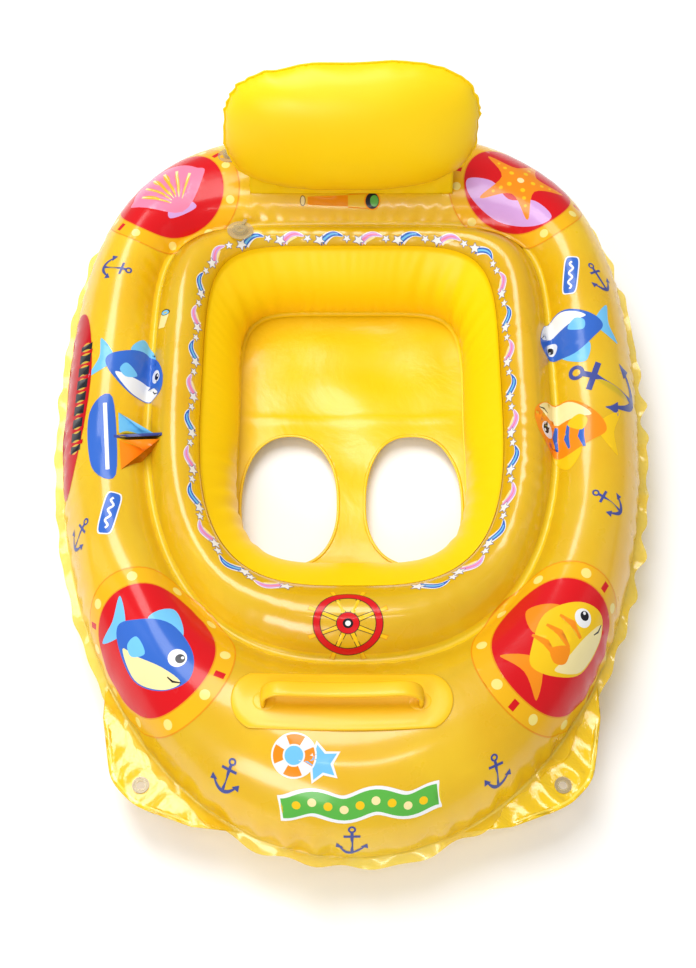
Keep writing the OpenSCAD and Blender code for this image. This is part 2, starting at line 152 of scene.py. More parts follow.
def to_space(a, radius, z):
    return np.stack([radius * np.cos(a), PLAN_Y + radius * np.sin(a), z], -1)


def flange_wave(a, flap):
    """Rise and fall of the slack flange, widest along the bow and its starboard side."""
    loose = 0.0032 + 0.0058 * np.maximum(0, np.cos(a + 1.1)) ** 2
    return flap ** 1.3 * loose * (ripple(a, 11, 22, 44) + 0.4 * ripple(a, 12, 50, 80))


def flange_scallop(a, flap):
    return flap * (0.0030 * ripple(a, 13, 24, 60) - 0.0035)


def top_skin(a, s, creased=True):
    """Point of the upper skin. s runs -1..0 over the flange, 0..1 over the outer tube,
    1..2 over the groove's weld and 2..3 over the inner ring."""
    a, s = np.broadcast_arrays(np.asarray(a, float), np.asarray(s, float))
    rise = crown(a)
    radius, t, u, half, stop, width = section(a, s, rise, RIM)
    tube = s <= 1
    z = np.where(tube, SEAM_Z + FILM + (rise - FILM) * np.sin(t), GROOVE_Z)
    arch = RING_CROWN * (width + WELD_BAND / 2) * np.sin(PI * u) ** (0.75 if creased else 1.0)
    z = np.where(s > 2, lerp(GROOVE_Z, RIM_Z, u) + arch, z)
    if not creased:
        return to_space(a, radius, z)
    # Creases stand along the skin's normal in the section's plane
    n_r, n_z = np.cos(t) / half, np.sin(t) / rise
    size = np.hypot(n_r, n_z)
    n_r, n_z = n_r / size, n_z / size
    arc = (half + rise) / 2
    bow = np.maximum(0, -np.sin(a)) ** 2
    pucker = (0.0012 + 0.0008 * bow) * hump(t * arc / 0.011) * ripple(a, 3, 70, 130)
    pucker = pucker + 0.0004 * hump((stop - t) * arc / 0.008) * ripple(a, 5, 60, 120)
    sway = 0.0011 * np.sin(np.clip(s, 0, 1) * PI) * ripple(a + 0.5 * s, 7, 4, 17)
    lift = np.where(tube, pucker + sway, 0)
    flap = np.clip(-s, 0, 1)
    radius = radius + lift * n_r + flange_scallop(a, flap)
    z = z + lift * n_z + flange_wave(a, flap)
    ring = hump(u * width / 0.009) + 0.8 * hump((1 - u) * width / 0.007)
    z = z + np.where(s > 2, 0.0003 * ring * ripple(a, 17, 40, 90), 0)
    z = z + np.where(s > 2, 0.0008 * np.sin(PI * u) * ripple(a, 19, 5, 19), 0)
    return to_space(a, radius, z)


def bottom_skin(a, s):
    """Point of the lower skin: -1..0 flange, 0..1 outer tube, 1..2 groove, 2..3 ring."""
    a, s = np.broadcast_arrays(np.asarray(a, float), np.asarray(s, float))
    radius, t, u, half, _, _ = section(a, s, SEAM_Z + SOLE, FLOOR)
    tube = s <= 1
    weld_z, band_z = 2 * SEAM_Z - GROOVE_Z, FLOOR_Z - 0.001
    z = np.where(tube, SEAM_Z - FILM - (SEAM_Z + SOLE) * np.sin(t), weld_z)
    sag = (weld_z + SOLE) * np.sin(PI * u) ** 0.75
    z = np.where(s > 2, lerp(weld_z, band_z, u) - sag, z)
    flap = np.clip(-s, 0, 1)
    arc = (half + SEAM_Z) / 2
    pucker = 0.0014 * hump(t * arc / 0.012) * ripple(a, 23, 60, 120)
    radius = radius + flange_scallop(a, flap) + np.where(tube, pucker, 0)
    z = z + flange_wave(a, flap)
    crease = 0.0012 * np.sin(np.clip(s, 0, 1) * PI) * (1 + ripple(a + 0.3 * s, 29, 9, 40))
    z = z + np.where(tube, crease, 0.001 * np.sin(PI * u) * (1 + ripple(a, 31, 9, 40)))
    return to_space(a, radius, np.maximum(z, 0.0002))


def wall_skin(a, u):
    """Point of the inner wall, from the rim (u 0) to the floor (u 1)."""
    a, u = np.broadcast_arrays(np.asarray(a, float), np.asarray(u, float))
    rim, floor_r = plan_radius(RIM, a) - FILM, plan_radius(FLOOR, a)
    bulge = WALL_BULGE + BOW_BULGE * np.maximum(0, -np.sin(a)) ** 4
    radius = lerp(rim, floor_r, u) - bulge * np.sin(PI * u)
    z = lerp(RIM_Z - WELD_BAND, FLOOR_Z + FILM, u)
    # Tight folds down the corners, and fine puckers along both welds
    corner = np.maximum(0, np.abs(np.sin(2 * (a - 0.11 * np.sign(np.cos(a))))) - 0.55) / 0.45
    folds = ripple(a, 37, 30, 60)
    radius = radius - 0.0016 * corner * np.sin(PI * u) * folds
    radius = radius - 0.0002 * hump(u * 0.1 / 0.010) * ripple(a, 41, 60, 110)
    radius = radius - 0.0007 * hump((1 - u) * 0.1 / 0.010) * ripple(a, 43, 50, 100)
    return to_space(a, radius, z)


# Mesh helpers

def mesh_object(name, points, faces, materials=(), face_material=None):
    mesh = bpy.data.meshes.new(name)
    points = [tuple(p) for p in np.asarray(points, float)]
    mesh.from_pydata(points, [], [list(map(int, f)) for f in faces])
    for m in materials:
        mesh.materials.append(m)
    if face_material is not None:
        mesh.polygons.foreach_set("material_index", np.asarray(face_material, np.int32))
    mesh.polygons.foreach_set("use_smooth", [True] * len(mesh.polygons))
    mesh.update()
    obj = bpy.data.objects.new(name, mesh)
    bpy.context.scene.collection.objects.link(obj)
    return obj


def grid_faces(rows, cols, ring):
    """Quads of a grid of rows by cols points, closed from its last row to its first if a ring."""
    index = np.arange(rows * cols).reshape(rows, cols)
    here = index if ring else index[:-1]
    there = np.roll(index, -1, axis=0) if ring else index[1:]
    quads = [here[:, :-1], here[:, 1:], there[:, 1:], there[:, :-1]]
    return np.stack(quads, -1).reshape(-1, 4)


def skin_object(name, points, materials, ring=True, flip=False, bands=None):
    """Sheet over a grid of points. bands gives the material number of each column of faces."""
    rows, cols = points.shape[:2]
    faces = grid_faces(rows, cols, ring)
    if flip:
        faces = faces[:, ::-1]
    which = None if bands is None else np.tile(bands, len(faces) // (cols - 1))
    materials = materials if isinstance(materials, list) else [materials]
    return mesh_object(name, points.reshape(-1, 3), faces, materials, which)


def pipe_faces(rows, sides, ring=True):
    """Quads of a pipe of rows of sides points, closed from its last row to its first if a ring."""
    index = np.arange(rows * sides).reshape(rows, sides)
    here = index if ring else index[:-1]
    there = np.roll(index, -1, 0) if ring else index[1:]
    return np.stack([here, there, np.roll(there, -1, 1), np.roll(here, -1, 1)], -1).reshape(-1, 4)


def thicken(obj, thickness, offset=-1):
    mod = obj.modifiers.new("thickness", "SOLIDIFY")
    mod.thickness = thickness
    mod.offset = offset
    return obj


def soften(obj):
    mod = obj.modifiers.new("smooth", "SUBSURF")
    mod.levels = 1
    mod.render_levels = 1
    return obj


# Materials

def node_tools(material):
    tree = material.node_tree
    tree.nodes.clear()

    def node(kind, **values):
        made = tree.nodes.new(kind)
        for key, value in values.items():
            if key in made.inputs:
                made.inputs[key].default_value = value
            else:
                setattr(made, key, value)
        return made

    def link(source, output, target, entry):
        tree.links.new(source.outputs[output], target.inputs[entry])

    return node, link


def vinyl(name, colour, shade, rough, creases=0.15, crease_scale=14.0,
          coat=0.3, clear=0.0, tint=(1, 1, 1), under=0.0, shine=0.5, coat_rough=0.07):
    """Soft PVC. colour and shade are its two tones, creases the strength of its folds,
    clear how much light goes straight through, tinted, and under its subsurface share."""
    material = bpy.data.materials.new(name)
    material.use_nodes = True
    node, link = node_tools(material)
    place = node("ShaderNodeTexCoord")
    tone = node("ShaderNodeTexNoise", Scale=7.0, Detail=4.0, Roughness=0.55)
    ramp = node("ShaderNodeValToRGB")
    ramp.color_ramp.elements[0].position = 0.35
    ramp.color_ramp.elements[1].position = 0.68
    ramp.color_ramp.elements[0].color = (*shade, 1)
    ramp.color_ramp.elements[1].color = (*colour, 1)
    gloss = node("ShaderNodeTexNoise", Scale=30.0, Detail=3.0)
    span = node("ShaderNodeMapRange", **{"To Min": rough[0], "To Max": rough[1]})
    folds = node("ShaderNodeTexNoise", Scale=crease_scale, Detail=5.0, Roughness=0.5, Distortion=0.6)
    fine = node("ShaderNodeTexNoise", Scale=700.0, Detail=2.0)
    bump = node("ShaderNodeBump", Strength=creases, Distance=0.006)
    tiny = node("ShaderNodeBump", Strength=0.03, Distance=0.0006)
    body = node("ShaderNodeBsdfPrincipled", **{
        "Specular IOR Level": shine, "Coat Weight": coat, "Coat Roughness": coat_rough, "Coat IOR": 1.6,
        "Subsurface Weight": under, "Subsurface Radius": (0.010, 0.007, 0.002), "Subsurface Scale": 1.0})
    for texture in (tone, gloss, folds, fine):
        link(place, "Object", texture, "Vector")
    link(tone, "Fac", ramp, "Fac")
    link(ramp, "Color", body, "Base Color")
    link(gloss, "Fac", span, "Value")
    link(span, "Result", body, "Roughness")
    link(folds, "Fac", bump, "Height")
    link(fine, "Fac", tiny, "Height")
    link(bump, "Normal", tiny, "Normal")
    link(tiny, "Normal", body, "Normal")
    out = node("ShaderNodeOutputMaterial")
    if not clear:
        link(body, "BSDF", out, "Surface")
        return material
    through = node("ShaderNodeBsdfTransparent", Color=(*tint, 1))
    mix = node("ShaderNodeMixShader", Fac=clear)
    link(body, "BSDF", mix, 1)
    link(through, "BSDF", mix, 2)
    link(mix, "Shader", out, "Surface")
    return material


AMBER_FILM = vinyl("amber_film", (0.99, 0.69, 0.020), (0.97, 0.58, 0.002), rough=(0.22, 0.36),
                   creases=0.30, crease_scale=10.0, coat=0.9, clear=0.43, tint=(1.0, 0.90, 0.12),
                   coat_rough=0.13)
AMBER_SOLE = vinyl("amber_sole", (0.98, 0.66, 0.010), (0.95, 0.56, 0.006), rough=(0.20, 0.35),
                   creases=0.35, crease_scale=16.0, coat=0.4, clear=0.30, tint=(1.0, 0.88, 0.18))
FLANGE = vinyl("flange_film", (0.92, 0.70, 0.06), (0.90, 0.62, 0.02), rough=(0.10, 0.2),
               creases=0.2, crease_scale=30.0, coat=0.7, clear=0.57, tint=(1.0, 0.97, 0.68))
YELLOW = vinyl("yellow_vinyl", (0.92, 0.63, 0.0015), (0.90, 0.60, 0.001), rough=(0.34, 0.46),
               creases=0.06, under=0.06, coat=0.0, shine=0.35)
SEAT = vinyl("seat_vinyl", (0.86, 0.57, 0.004), (0.83, 0.51, 0.002), rough=(0.25, 0.38),
             creases=0.5, crease_scale=11.0, under=0.06, coat=0.1, shine=0.4)
PATCH = vinyl("handle_vinyl", (0.88, 0.52, 0.006), (0.85, 0.46, 0.004), rough=(0.3, 0.42),
              creases=0.06, under=0.05, coat=0.1, shine=0.4)
WELD = vinyl("weld_band", (0.90, 0.64, 0.020), (0.88, 0.58, 0.010), rough=(0.2, 0.35), creases=0.1,
             clear=0.25, tint=(1.0, 0.9, 0.3), shine=0.4)
FLAP = vinyl("flap_vinyl", (0.90, 0.63, 0.005), (0.88, 0.56, 0.002), rough=(0.12, 0.22),
             creases=0.8, crease_scale=26.0, clear=0.12, coat=0.5, tint=(1.0, 0.86, 0.30))
FLAP_WELD = vinyl("flap_weld", (0.94, 0.74, 0.10), (0.92, 0.68, 0.06), rough=(0.12, 0.22), coat=0.6)
CLEAR = vinyl("clear_vinyl", (0.62, 0.55, 0.36), (0.52, 0.46, 0.30), rough=(0.08, 0.2),
              creases=0.05, coat=0.6, clear=0.62, tint=(0.95, 0.90, 0.74))


def ink(name, colour, coat=0.08, shine=0.22):
    faded = tuple(0.9 * channel for channel in colour)
    return vinyl("ink_" + name, colour, faded, rough=(0.14, 0.26),
                 creases=0.08, crease_scale=9.0, coat=coat, shine=shine)


INKS = {
    "ring": ink("ring", (0.80, 0.42, 0.008)),
    "edge": ink("edge", (0.72, 0.27, 0.006)),
    "dot": ink("dot", (0.85, 0.70, 0.20)),
    "red": ink("red", (0.62, 0.006, 0.010)),
    "deep_red": ink("deep_red", (0.50, 0.004, 0.010), coat=0.0, shine=0.12),
    "amber": ink("amber", (0.88, 0.30, 0.004), coat=0.0, shine=0.10),
    "navy": ink("navy", (0.055, 0.075, 0.28)),
    "blue": ink("blue", (0.035, 0.13, 0.52)),
    "sky": ink("sky", (0.16, 0.50, 0.80)),
    "lilac": ink("lilac", (0.62, 0.34, 0.68)),
    "pink": ink("pink", (0.82, 0.22, 0.36)),
    "orange": ink("orange", (0.84, 0.25, 0.008)),
    "yellow": ink("yellow", (0.84, 0.52, 0.01)),
    "cream": ink("cream", (0.85, 0.72, 0.35)),
    "white": ink("white", (0.80, 0.80, 0.80)),
    "black": ink("black", (0.010, 0.010, 0.014)),
    "green": ink("green", (0.10, 0.42, 0.06)),
}


# Hull

STATIONS = 576
ROUND = np.arange(STATIONS) * TURN / STATIONS

# The weld band shows on the last share of the tube, down to the groove
GROOVE_SHOW = 0.016
rows = np.concatenate([
    np.linspace(-1, 0, 6)[:-1], np.linspace(0, 1 - GROOVE_SHOW, 44), np.linspace(1, 2, 3),
    2 + np.linspace(0.03, 1, 26)])
at_groove = (rows[:-1] > 1 - GROOVE_SHOW - 1e-9) & (rows[:-1] < 2.02)
bands = np.where(rows[:-1] < -1e-9, 1, np.where(at_groove, 2, 0))
top_points = top_skin(ROUND[:, None], rows[None, :])
lip = top_points[:, -1:, :] - np.array([0, 0, WELD_BAND])
top = skin_object("hull_top_film", np.concatenate([top_points, lip], 1),
                  [AMBER_FILM, FLANGE, WELD], bands=np.append(bands, 0))
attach(top, "hull")
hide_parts("top_sheet")

bottom_points = bottom_skin(ROUND[:, None], rows[None, :])
bottom = skin_object("hull_bottom_film", bottom_points, [AMBER_SOLE, FLANGE], flip=True,
                     bands=np.where(rows[:-1] < -1e-9, 1, 0))
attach(bottom, "hull")
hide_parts("bottom_sheet")

wall_points = wall_skin(ROUND[:, None], np.linspace(0, 1, 33)[None, :])
wall_lip = to_space(ROUND[:, None], plan_radius(RIM, ROUND)[:, None] - FILM,
                    np.full((STATIONS, 1), RIM_Z))
wall_foot = to_space(ROUND[:, None], plan_radius(FLOOR, ROUND)[:, None] - WELD_BAND,
                     np.full((STATIONS, 1), FLOOR_Z + FILM))
wall = skin_object("inner_wall_skin", np.concatenate([wall_lip, wall_points, wall_foot], 1), YELLOW)
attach(wall, "hull")
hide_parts("inner_wall")


def divider():
    """Web between the two chambers, with a wide weld band under each film."""
    band = 0.0055
    weld = plan_radius(GROOVE, ROUND)[:, None]
    top_z, low_z = GROOVE_Z - FILM, 2 * SEAM_Z - GROOVE_Z + FILM
    slack = 0.001 * ripple(ROUND, 47, 30, 70)[:, None]
    reach = [weld + band, weld - band, weld - FILM + 0 * slack]
    level = [np.full_like(weld, top_z), np.full_like(weld, top_z), np.full_like(weld, top_z - FILM)]
    for u in np.linspace(0.1, 0.9, 9):
        reach.append(weld + slack * math.sin(PI * u) * 3)
        level.append(np.full_like(weld, lerp(top_z, low_z, u)))
    reach += [weld, weld - band, weld + band]
    level += [np.full_like(weld, low_z + FILM)] + [np.full_like(weld, low_z)] * 2
    return to_space(ROUND[:, None], np.concatenate(reach, 1), np.concatenate(level, 1))


web = skin_object("chamber_web", divider(), WELD)
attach(web, "hull")
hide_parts("chamber_divider")


# Flat outlines, and the triangles that fill them

def oval(half_w, half_l, power, n=96):
    t = np.arange(n) * TURN / n
    c, s = np.cos(t), np.sin(t)
    return np.stack([half_w * np.sign(c) * np.abs(c) ** (2 / power),
                     half_l * np.sign(s) * np.abs(s) ** (2 / power)], -1)


def leg_outline(side, margin, n=96):
    q = oval(1, 1, LEG_POWER, n)
    reach = np.where(q[:, 1] < 0, LEG_BOW_L, LEG_HALF_L) + margin
    return np.stack([side * LEG_X + q[:, 0] * (LEG_HALF_W + margin), LEG_Y + q[:, 1] * reach], -1)


def inside(loop, points):
    """Which of the points lie inside a closed loop."""
    x, y = points[:, 0][:, None], points[:, 1][:, None]
    x0, y0 = loop[:, 0][None], loop[:, 1][None]
    x1, y1 = np.roll(loop[:, 0], -1)[None], np.roll(loop[:, 1], -1)[None]
    crosses = (y0 > y) != (y1 > y)
    with np.errstate(divide="ignore", invalid="ignore"):
        at = x0 + (y - y0) * (x1 - x0) / (y1 - y0)
    return (np.sum(crosses & (x < at), axis=1) % 2) == 1


def fill_flat(loops, spacing):
    """Triangles over the loops' hull, with the loops as edges and a grid of points inside."""
    points = np.concatenate(loops)
    low, high = points.min(0), points.max(0)
    xs = np.arange(low[0] + spacing / 2, high[0], spacing)
    ys = np.arange(low[1] + spacing / 2, high[1], spacing)
    grid = np.stack(np.meshgrid(xs, ys), -1).reshape(-1, 2)
    edges, start = [], 0
    for loop in loops:
        n = len(loop)
        edges += [(start + k, start + (k + 1) % n) for k in range(n)]
        start += n
    verts = [Vector(p) for p in np.concatenate([points, grid])]
    found = geometry.delaunay_2d_cdt(verts, edges, [], 0, 1e-6)
    flat = np.array([tuple(v) for v in found[0]])
    tris = np.array([f for f in found[2] if len(f) == 3])
    return flat, tris


def tidy_mesh(flat, tris):
    """Drops the points that no triangle uses, and turns all triangles to face up."""
    used = np.unique(tris)
    new = np.zeros(len(flat), int)
    new[used] = np.arange(len(used))
    flat, tris = flat[used], new[tris]
    p = flat[tris]
    area = (p[:, 1, 0] - p[:, 0, 0]) * (p[:, 2, 1] - p[:, 0, 1])
    area = area - (p[:, 2, 0] - p[:, 0, 0]) * (p[:, 1, 1] - p[:, 0, 1])
    tris[area < 0] = tris[area < 0][:, ::-1]
    return flat, tris


# Seat

def seat_height(x, y):
    """Slack of the seat panel: soft folds, deepest across its middle."""
    r = np.hypot(x, y - PLAN_Y)
    a = np.arctan2(y - PLAN_Y, x)
    held = np.clip(1 - r / plan_radius(FLOOR, a), 0, 1)
    slack = np.minimum(1, held * 6)
    folds = np.sin(38 * y + 9 * x + 1.5 * np.sin(21 * x)) + 0.7 * np.sin(61 * x + 17 * y + 2)
    folds = folds + 0.6 * np.sin(90 * y - 30 * x + 3 * np.sin(17 * x))
    crease = np.exp(-((y - LEG_Y - 0.118 - 0.25 * x * x) / 0.004) ** 2)
    return FLOOR_Z - 0.0002 - slack * (0.002 + 0.0011 * folds - 0.0018 * crease)


floor_loop = np.stack([plan_radius(FLOOR, ROUND[::3]) * np.cos(ROUND[::3]),
                       PLAN_Y + plan_radius(FLOOR, ROUND[::3]) * np.sin(ROUND[::3])], -1)
legs = [leg_outline(side, 0) for side in (-1, 1)]
flat, tris = fill_flat([floor_loop] + legs, 0.005)
middle = flat[tris].mean(1)
keep = inside(floor_loop, middle)
for leg in legs:
    keep &= ~inside(leg, middle)
flat, tris = tidy_mesh(flat, tris[keep])
seat_points = np.column_stack([flat, seat_height(flat[:, 0], flat[:, 1])])
seat = mesh_object("seat_sheet", seat_points, tris, [SEAT])
thicken(seat, 0.0006)
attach(seat, "hull")
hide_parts("seat_panel")


def hem(side):
    """Rounded welded band round a leg hole."""
    n, sides = 144, 10
    path = leg_outline(side, HEM_W / 2, n)
    out = path - leg_outline(side, -0.001, n)
    out = out / np.linalg.norm(out, axis=1)[:, None]
    level = seat_height(path[:, 0], path[:, 1]) + 0.0005
    t = np.arange(sides) * TURN / sides
    across, up = np.cos(t) * (HEM_W / 2 + 0.0004), np.sin(t) * 0.0009
    xy = path[:, None, :] + out[:, None, :] * across[None, :, None]
    z = level[:, None] + up[None, :]
    points = np.concatenate([xy, z[..., None]], -1)
    name = "leg_hem_" + ("port" if side < 0 else "starboard")
    return mesh_object(name, points.reshape(-1, 3), pipe_faces(n, sides), [SEAT])


for side, node_name in ((-1, "leg_hole_hem_left"), (1, "leg_hole_hem_right")):
    band = hem(side)
    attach(band, "hull")
    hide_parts(node_name)


# Printed decals. Each is a flat drawing in inks, laid on the skin by walking over it.

def normals(surface, a, s):
    e = 1e-4
    pa = (surface(a + e, s) - surface(a - e, s)) / (2 * e)
    ps = (surface(a, s + e) - surface(a, s - e)) / (2 * e)
    n = np.cross(pa, ps)
    size = np.linalg.norm(n, axis=-1, keepdims=True)
    return pa, ps, n / np.maximum(size, 1e-12)


def smooth_top(a, s):
    return top_skin(a, s, creased=False)


# Evenly spaced parameter v over the skin, in shares of the tube's arc, against s
EVEN_V, EVEN_S = (-0.083, 0, 1, 1.033, 1.47), (-1, 0, 1, 2, 3)


def even_top(a, v):
    return smooth_top(a, np.interp(v, EVEN_V, EVEN_S))


PRINT_LIFT = 0.0003
WALK_STEPS = 28


def lay_on_hull(flat, a, s, heading):
    """Carries flat points over the upper skin from the place (a, s). heading is the
    direction in plan that the drawing's +X takes. A point that reaches the rim stays on it."""
    count = len(flat)
    a, v = np.full(count, float(a)), np.full(count, float(np.interp(s, EVEN_S, EVEN_V)))
    ex = np.tile([math.cos(heading), math.sin(heading), 0.0], (count, 1))
    for _ in range(WALK_STEPS):
        pa, ps, n = normals(even_top, a, v)
        ex = ex - np.sum(ex * n, 1)[:, None] * n
        ex = ex / np.linalg.norm(ex, axis=1)[:, None]
        ey = np.cross(n, ex)
        go = (flat[:, :1] * ex + flat[:, 1:] * ey) / WALK_STEPS
        aa, ss, cross = np.sum(pa * pa, 1), np.sum(ps * ps, 1), np.sum(pa * ps, 1)
        ga, gs = np.sum(go * pa, 1), np.sum(go * ps, 1)
        det = np.maximum(aa * ss - cross * cross, 1e-18)
        a = a + (ga * ss - gs * cross) / det
        v = v + (gs * aa - ga * cross) / det
    s = np.interp(v, EVEN_V, EVEN_S)
    _, _, n = normals(top_skin, a, s)
    return top_skin(a, s) + PRINT_LIFT * n


def place_on_tube(x, y):
    """Hull parameters (a, s) of the upper skin's point with plan place x, y."""
    a = math.atan2(y - PLAN_Y, x)
    r = math.hypot(x, y - PLAN_Y)
    best = np.linspace(0, 3, 3001)
    p = smooth_top(np.full_like(best, a), best)
    reach = np.hypot(p[:, 0], p[:, 1] - PLAN_Y)
    away = np.abs(reach - r) - 2 * (p[:, 2] - SEAM_Z) * 1e-3
    return a, float(best[int(np.argmin(away))])


class Drawing:
    """Closed loops in painting order, each with an ink. None cuts the inks below it."""

    def __init__(self):
        self.layers = []

    def add(self, ink_name, loop):
        self.layers.append((ink_name, np.asarray(loop, float)))
        return self

    def circle(self, ink_name, x, y, r, n=40):
        return self.ellipse(ink_name, x, y, r, r, n)

    def ellipse(self, ink_name, x, y, rx, ry, n=40):
        return self.add(ink_name, rays(n) * [rx, ry] + [x, y])

    def stroke(self, ink_name, points, width):
        return self.add(ink_name, ribbon(points, width))

    def blob(self, ink_name, points):
        return self.add(ink_name, rounded(points))

    def star(self, ink_name, x, y, r, inner):
        return self.add(ink_name, star_points(r, r * inner) + [x, y])

    def paste(self, other):
        self.layers += other.layers
        return self


def rays(count, first=0.0):
    """Unit directions, count of them in a full turn."""
    t = first + np.arange(count) * TURN / count
    return np.stack([np.cos(t), np.sin(t)], -1)


def star_points(tip, notch):
    """The ten points of a star with five arms, its tips and notches at these radii."""
    return np.tile([[tip], [notch]], (5, 1)) * rays(10, PI / 2)


def rounded(points):
    """Closed smooth curve through the points, with 6 steps from each to the next."""
    p = np.asarray(points, float)
    out = []
    for k in range(len(p)):
        p0, p1, p2, p3 = p[k - 1], p[k], p[(k + 1) % len(p)], p[(k + 2) % len(p)]
        for u in np.arange(6) / 6:
            out.append(0.5 * (2 * p1 + (p2 - p0) * u + (2 * p0 - 5 * p1 + 4 * p2 - p3) * u * u
                              + (3 * p1 - p0 - 3 * p2 + p3) * u ** 3))
    return np.array(out)


def ribbon(points, width):
    """Loop round an open line. width is one number, or one for each point."""
    p = np.asarray(points, float)
    width = np.broadcast_to(np.asarray(width, float), len(p))
    ahead = np.gradient(p, axis=0)
    ahead = ahead / np.linalg.norm(ahead, axis=1)[:, None]
    side = np.stack([-ahead[:, 1], ahead[:, 0]], -1) * width[:, None] / 2
    return np.concatenate([p + side, (p - side)[::-1]])


def bow_line(x0, x1, y, sag):
    """Eleven points along a line from x0 to x1 that dips by sag in its middle."""
    x = np.linspace(x0, x1, 11)
    u = (x - x0) / (x1 - x0)
    return np.stack([x, y - sag * 4 * u * (1 - u)], -1)


def print_mesh(drawing, spacing):
    loops = [loop for _, loop in drawing.layers]
    flat, tris = fill_flat(loops, spacing)
    middle = flat[tris].mean(1)
    names = [name for name, _ in drawing.layers]
    top_layer = np.full(len(tris), -1)
    for k, loop in enumerate(loops):
        top_layer[inside(loop, middle)] = k
    keep = np.array([k >= 0 and names[k] is not None for k in top_layer])
    flat, tris = tidy_mesh(flat, tris[keep])
    return flat, tris, [names[k] for k in top_layer[keep]]


def decal(name, drawing, spots, spacing=0.005):
    """Prints a drawing at each spot (a, s, heading, size) of the hull as one piece."""
    flat, tris, inks = print_mesh(drawing, spacing)
    used = sorted(set(inks))
    points, faces, which = [], [], []
    for a, s, heading, size in spots:
        faces.append(tris + len(points) * len(flat))
        points.append(lay_on_hull(flat * size, a, s, heading))
        which += [used.index(i) for i in inks]
    materials = [INKS[i] for i in used]
    piece = mesh_object(name, np.concatenate(points), np.concatenate(faces), materials, which)
    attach(piece, "hull")
    return piece


def porthole(inside_picture):
    """Round picture in a ring with ten dots and two short bars."""
    d = Drawing()
    d.circle("edge", 0, 0, 0.1005, 72).circle("ring", 0, 0, 0.0988, 72)
    first = 0.25
    for way in rays(10, first + TURN / 20):
        d.circle("dot", *(0.0885 * way), 0.0060, 18)
    for way in rays(2, first):
        d.stroke("red", [0.0835 * way, 0.0955 * way], 0.0074)
    d.circle("edge", 0, 0, 0.0790, 72).circle("red", 0, 0, 0.0775, 72)
    return d.paste(inside_picture)


def fish(body, fin, belly, stripe=None):
    d = Drawing()
    d.blob(fin, [(-0.034, 0.0), (-0.064, 0.030), (-0.056, 0.0), (-0.062, -0.032)])
    d.blob(fin, [(-0.018, 0.026), (-0.006, 0.056), (0.018, 0.044), (0.024, 0.028)])
    d.blob(body, [(0.064, -0.002), (0.046, 0.026), (0.006, 0.038), (-0.030, 0.018), (-0.046, 0.0),
                  (-0.030, -0.022), (0.006, -0.040), (0.046, -0.028)])
    d.blob(belly, [(0.058, -0.010), (0.030, -0.008), (-0.004, -0.014), (-0.026, -0.018),
                   (0.006, -0.038), (0.044, -0.028)])
    if stripe:
        for x in (-0.022, -0.002, 0.017):
            d.stroke(stripe, [(x, 0.027), (x + 0.006, 0.012), (x + 0.005, -0.006)], [0.003, 0.008, 0.004])
    d.blob(fin, [(0.004, -0.006), (-0.016, 0.004), (-0.022, -0.010), (-0.010, -0.018)])
    d.circle("white", 0.038, 0.010, 0.0105, 28).circle("black", 0.041, 0.011, 0.0055, 20)
    d.circle("white", 0.0425, 0.0135, 0.0018, 12)
    return d.stroke("black", [(0.059, -0.010), (0.050, -0.014), (0.042, -0.013)], [0.0012, 0.0024, 0.0012])


def shell():
    d = Drawing()
    rim = [(0.060 * math.cos(t), -0.030 + 0.082 * math.sin(t)) for t in np.linspace(0.35, PI - 0.35, 13)]
    d.blob("lilac", [(-0.020, -0.046), (0.020, -0.046), (0.012, -0.030), (-0.012, -0.030)])
    d.blob("pink", [(0.0, -0.044)] + rim)
    for t in np.linspace(0.62, PI - 0.62, 6):
        tip = (0.047 * math.cos(t), -0.030 + 0.066 * math.sin(t))
        d.stroke("cream", [(tip[0] * 0.22, -0.036 + (tip[1] + 0.036) * 0.22), tip], [0.0012, 0.0042])
    return d


def starfish():
    d = Drawing()
    d.blob("lilac", [(-0.066, -0.030), (-0.034, -0.018), (0.0, -0.032), (0.034, -0.018), (0.066, -0.030),
                     (0.050, -0.052), (0.0, -0.066), (-0.050, -0.052)])
    d.blob("orange", star_points(0.064, 0.027) + [0, 0.004])
    for way in rays(5, PI / 2):
        for r, size in ((0.018, 0.0034), (0.031, 0.0028), (0.043, 0.0022)):
            d.circle("yellow", r * way[0], 0.004 + r * way[1], size, 14)
    return d.circle("cream", 0, 0.004, 0.0050, 18)


def anchor():
    """About 30 mm wide and 41 mm tall."""
    d = Drawing()
    d.circle("navy", 0, 0.0165, 0.0042, 20).circle(None, 0, 0.0165, 0.0021, 14)
    d.stroke("navy", [(0, 0.0130), (0, -0.0175)], 0.0032)
    d.stroke("navy", [(-0.0085, 0.0075), (0.0085, 0.0075)], 0.0030)
    d.stroke("navy", bow_line(-0.0130, 0.0130, -0.0070, 0.0115),
             [0.0016, 0.0024, 0.0032, 0.0040, 0.0044, 0.0046, 0.0044, 0.0040, 0.0032, 0.0024, 0.0016])
    for side in (-1, 1):
        d.add("navy", [(side * 0.0155, -0.0030), (side * 0.0165, -0.0110), (side * 0.0085, -0.0085)])
    return d


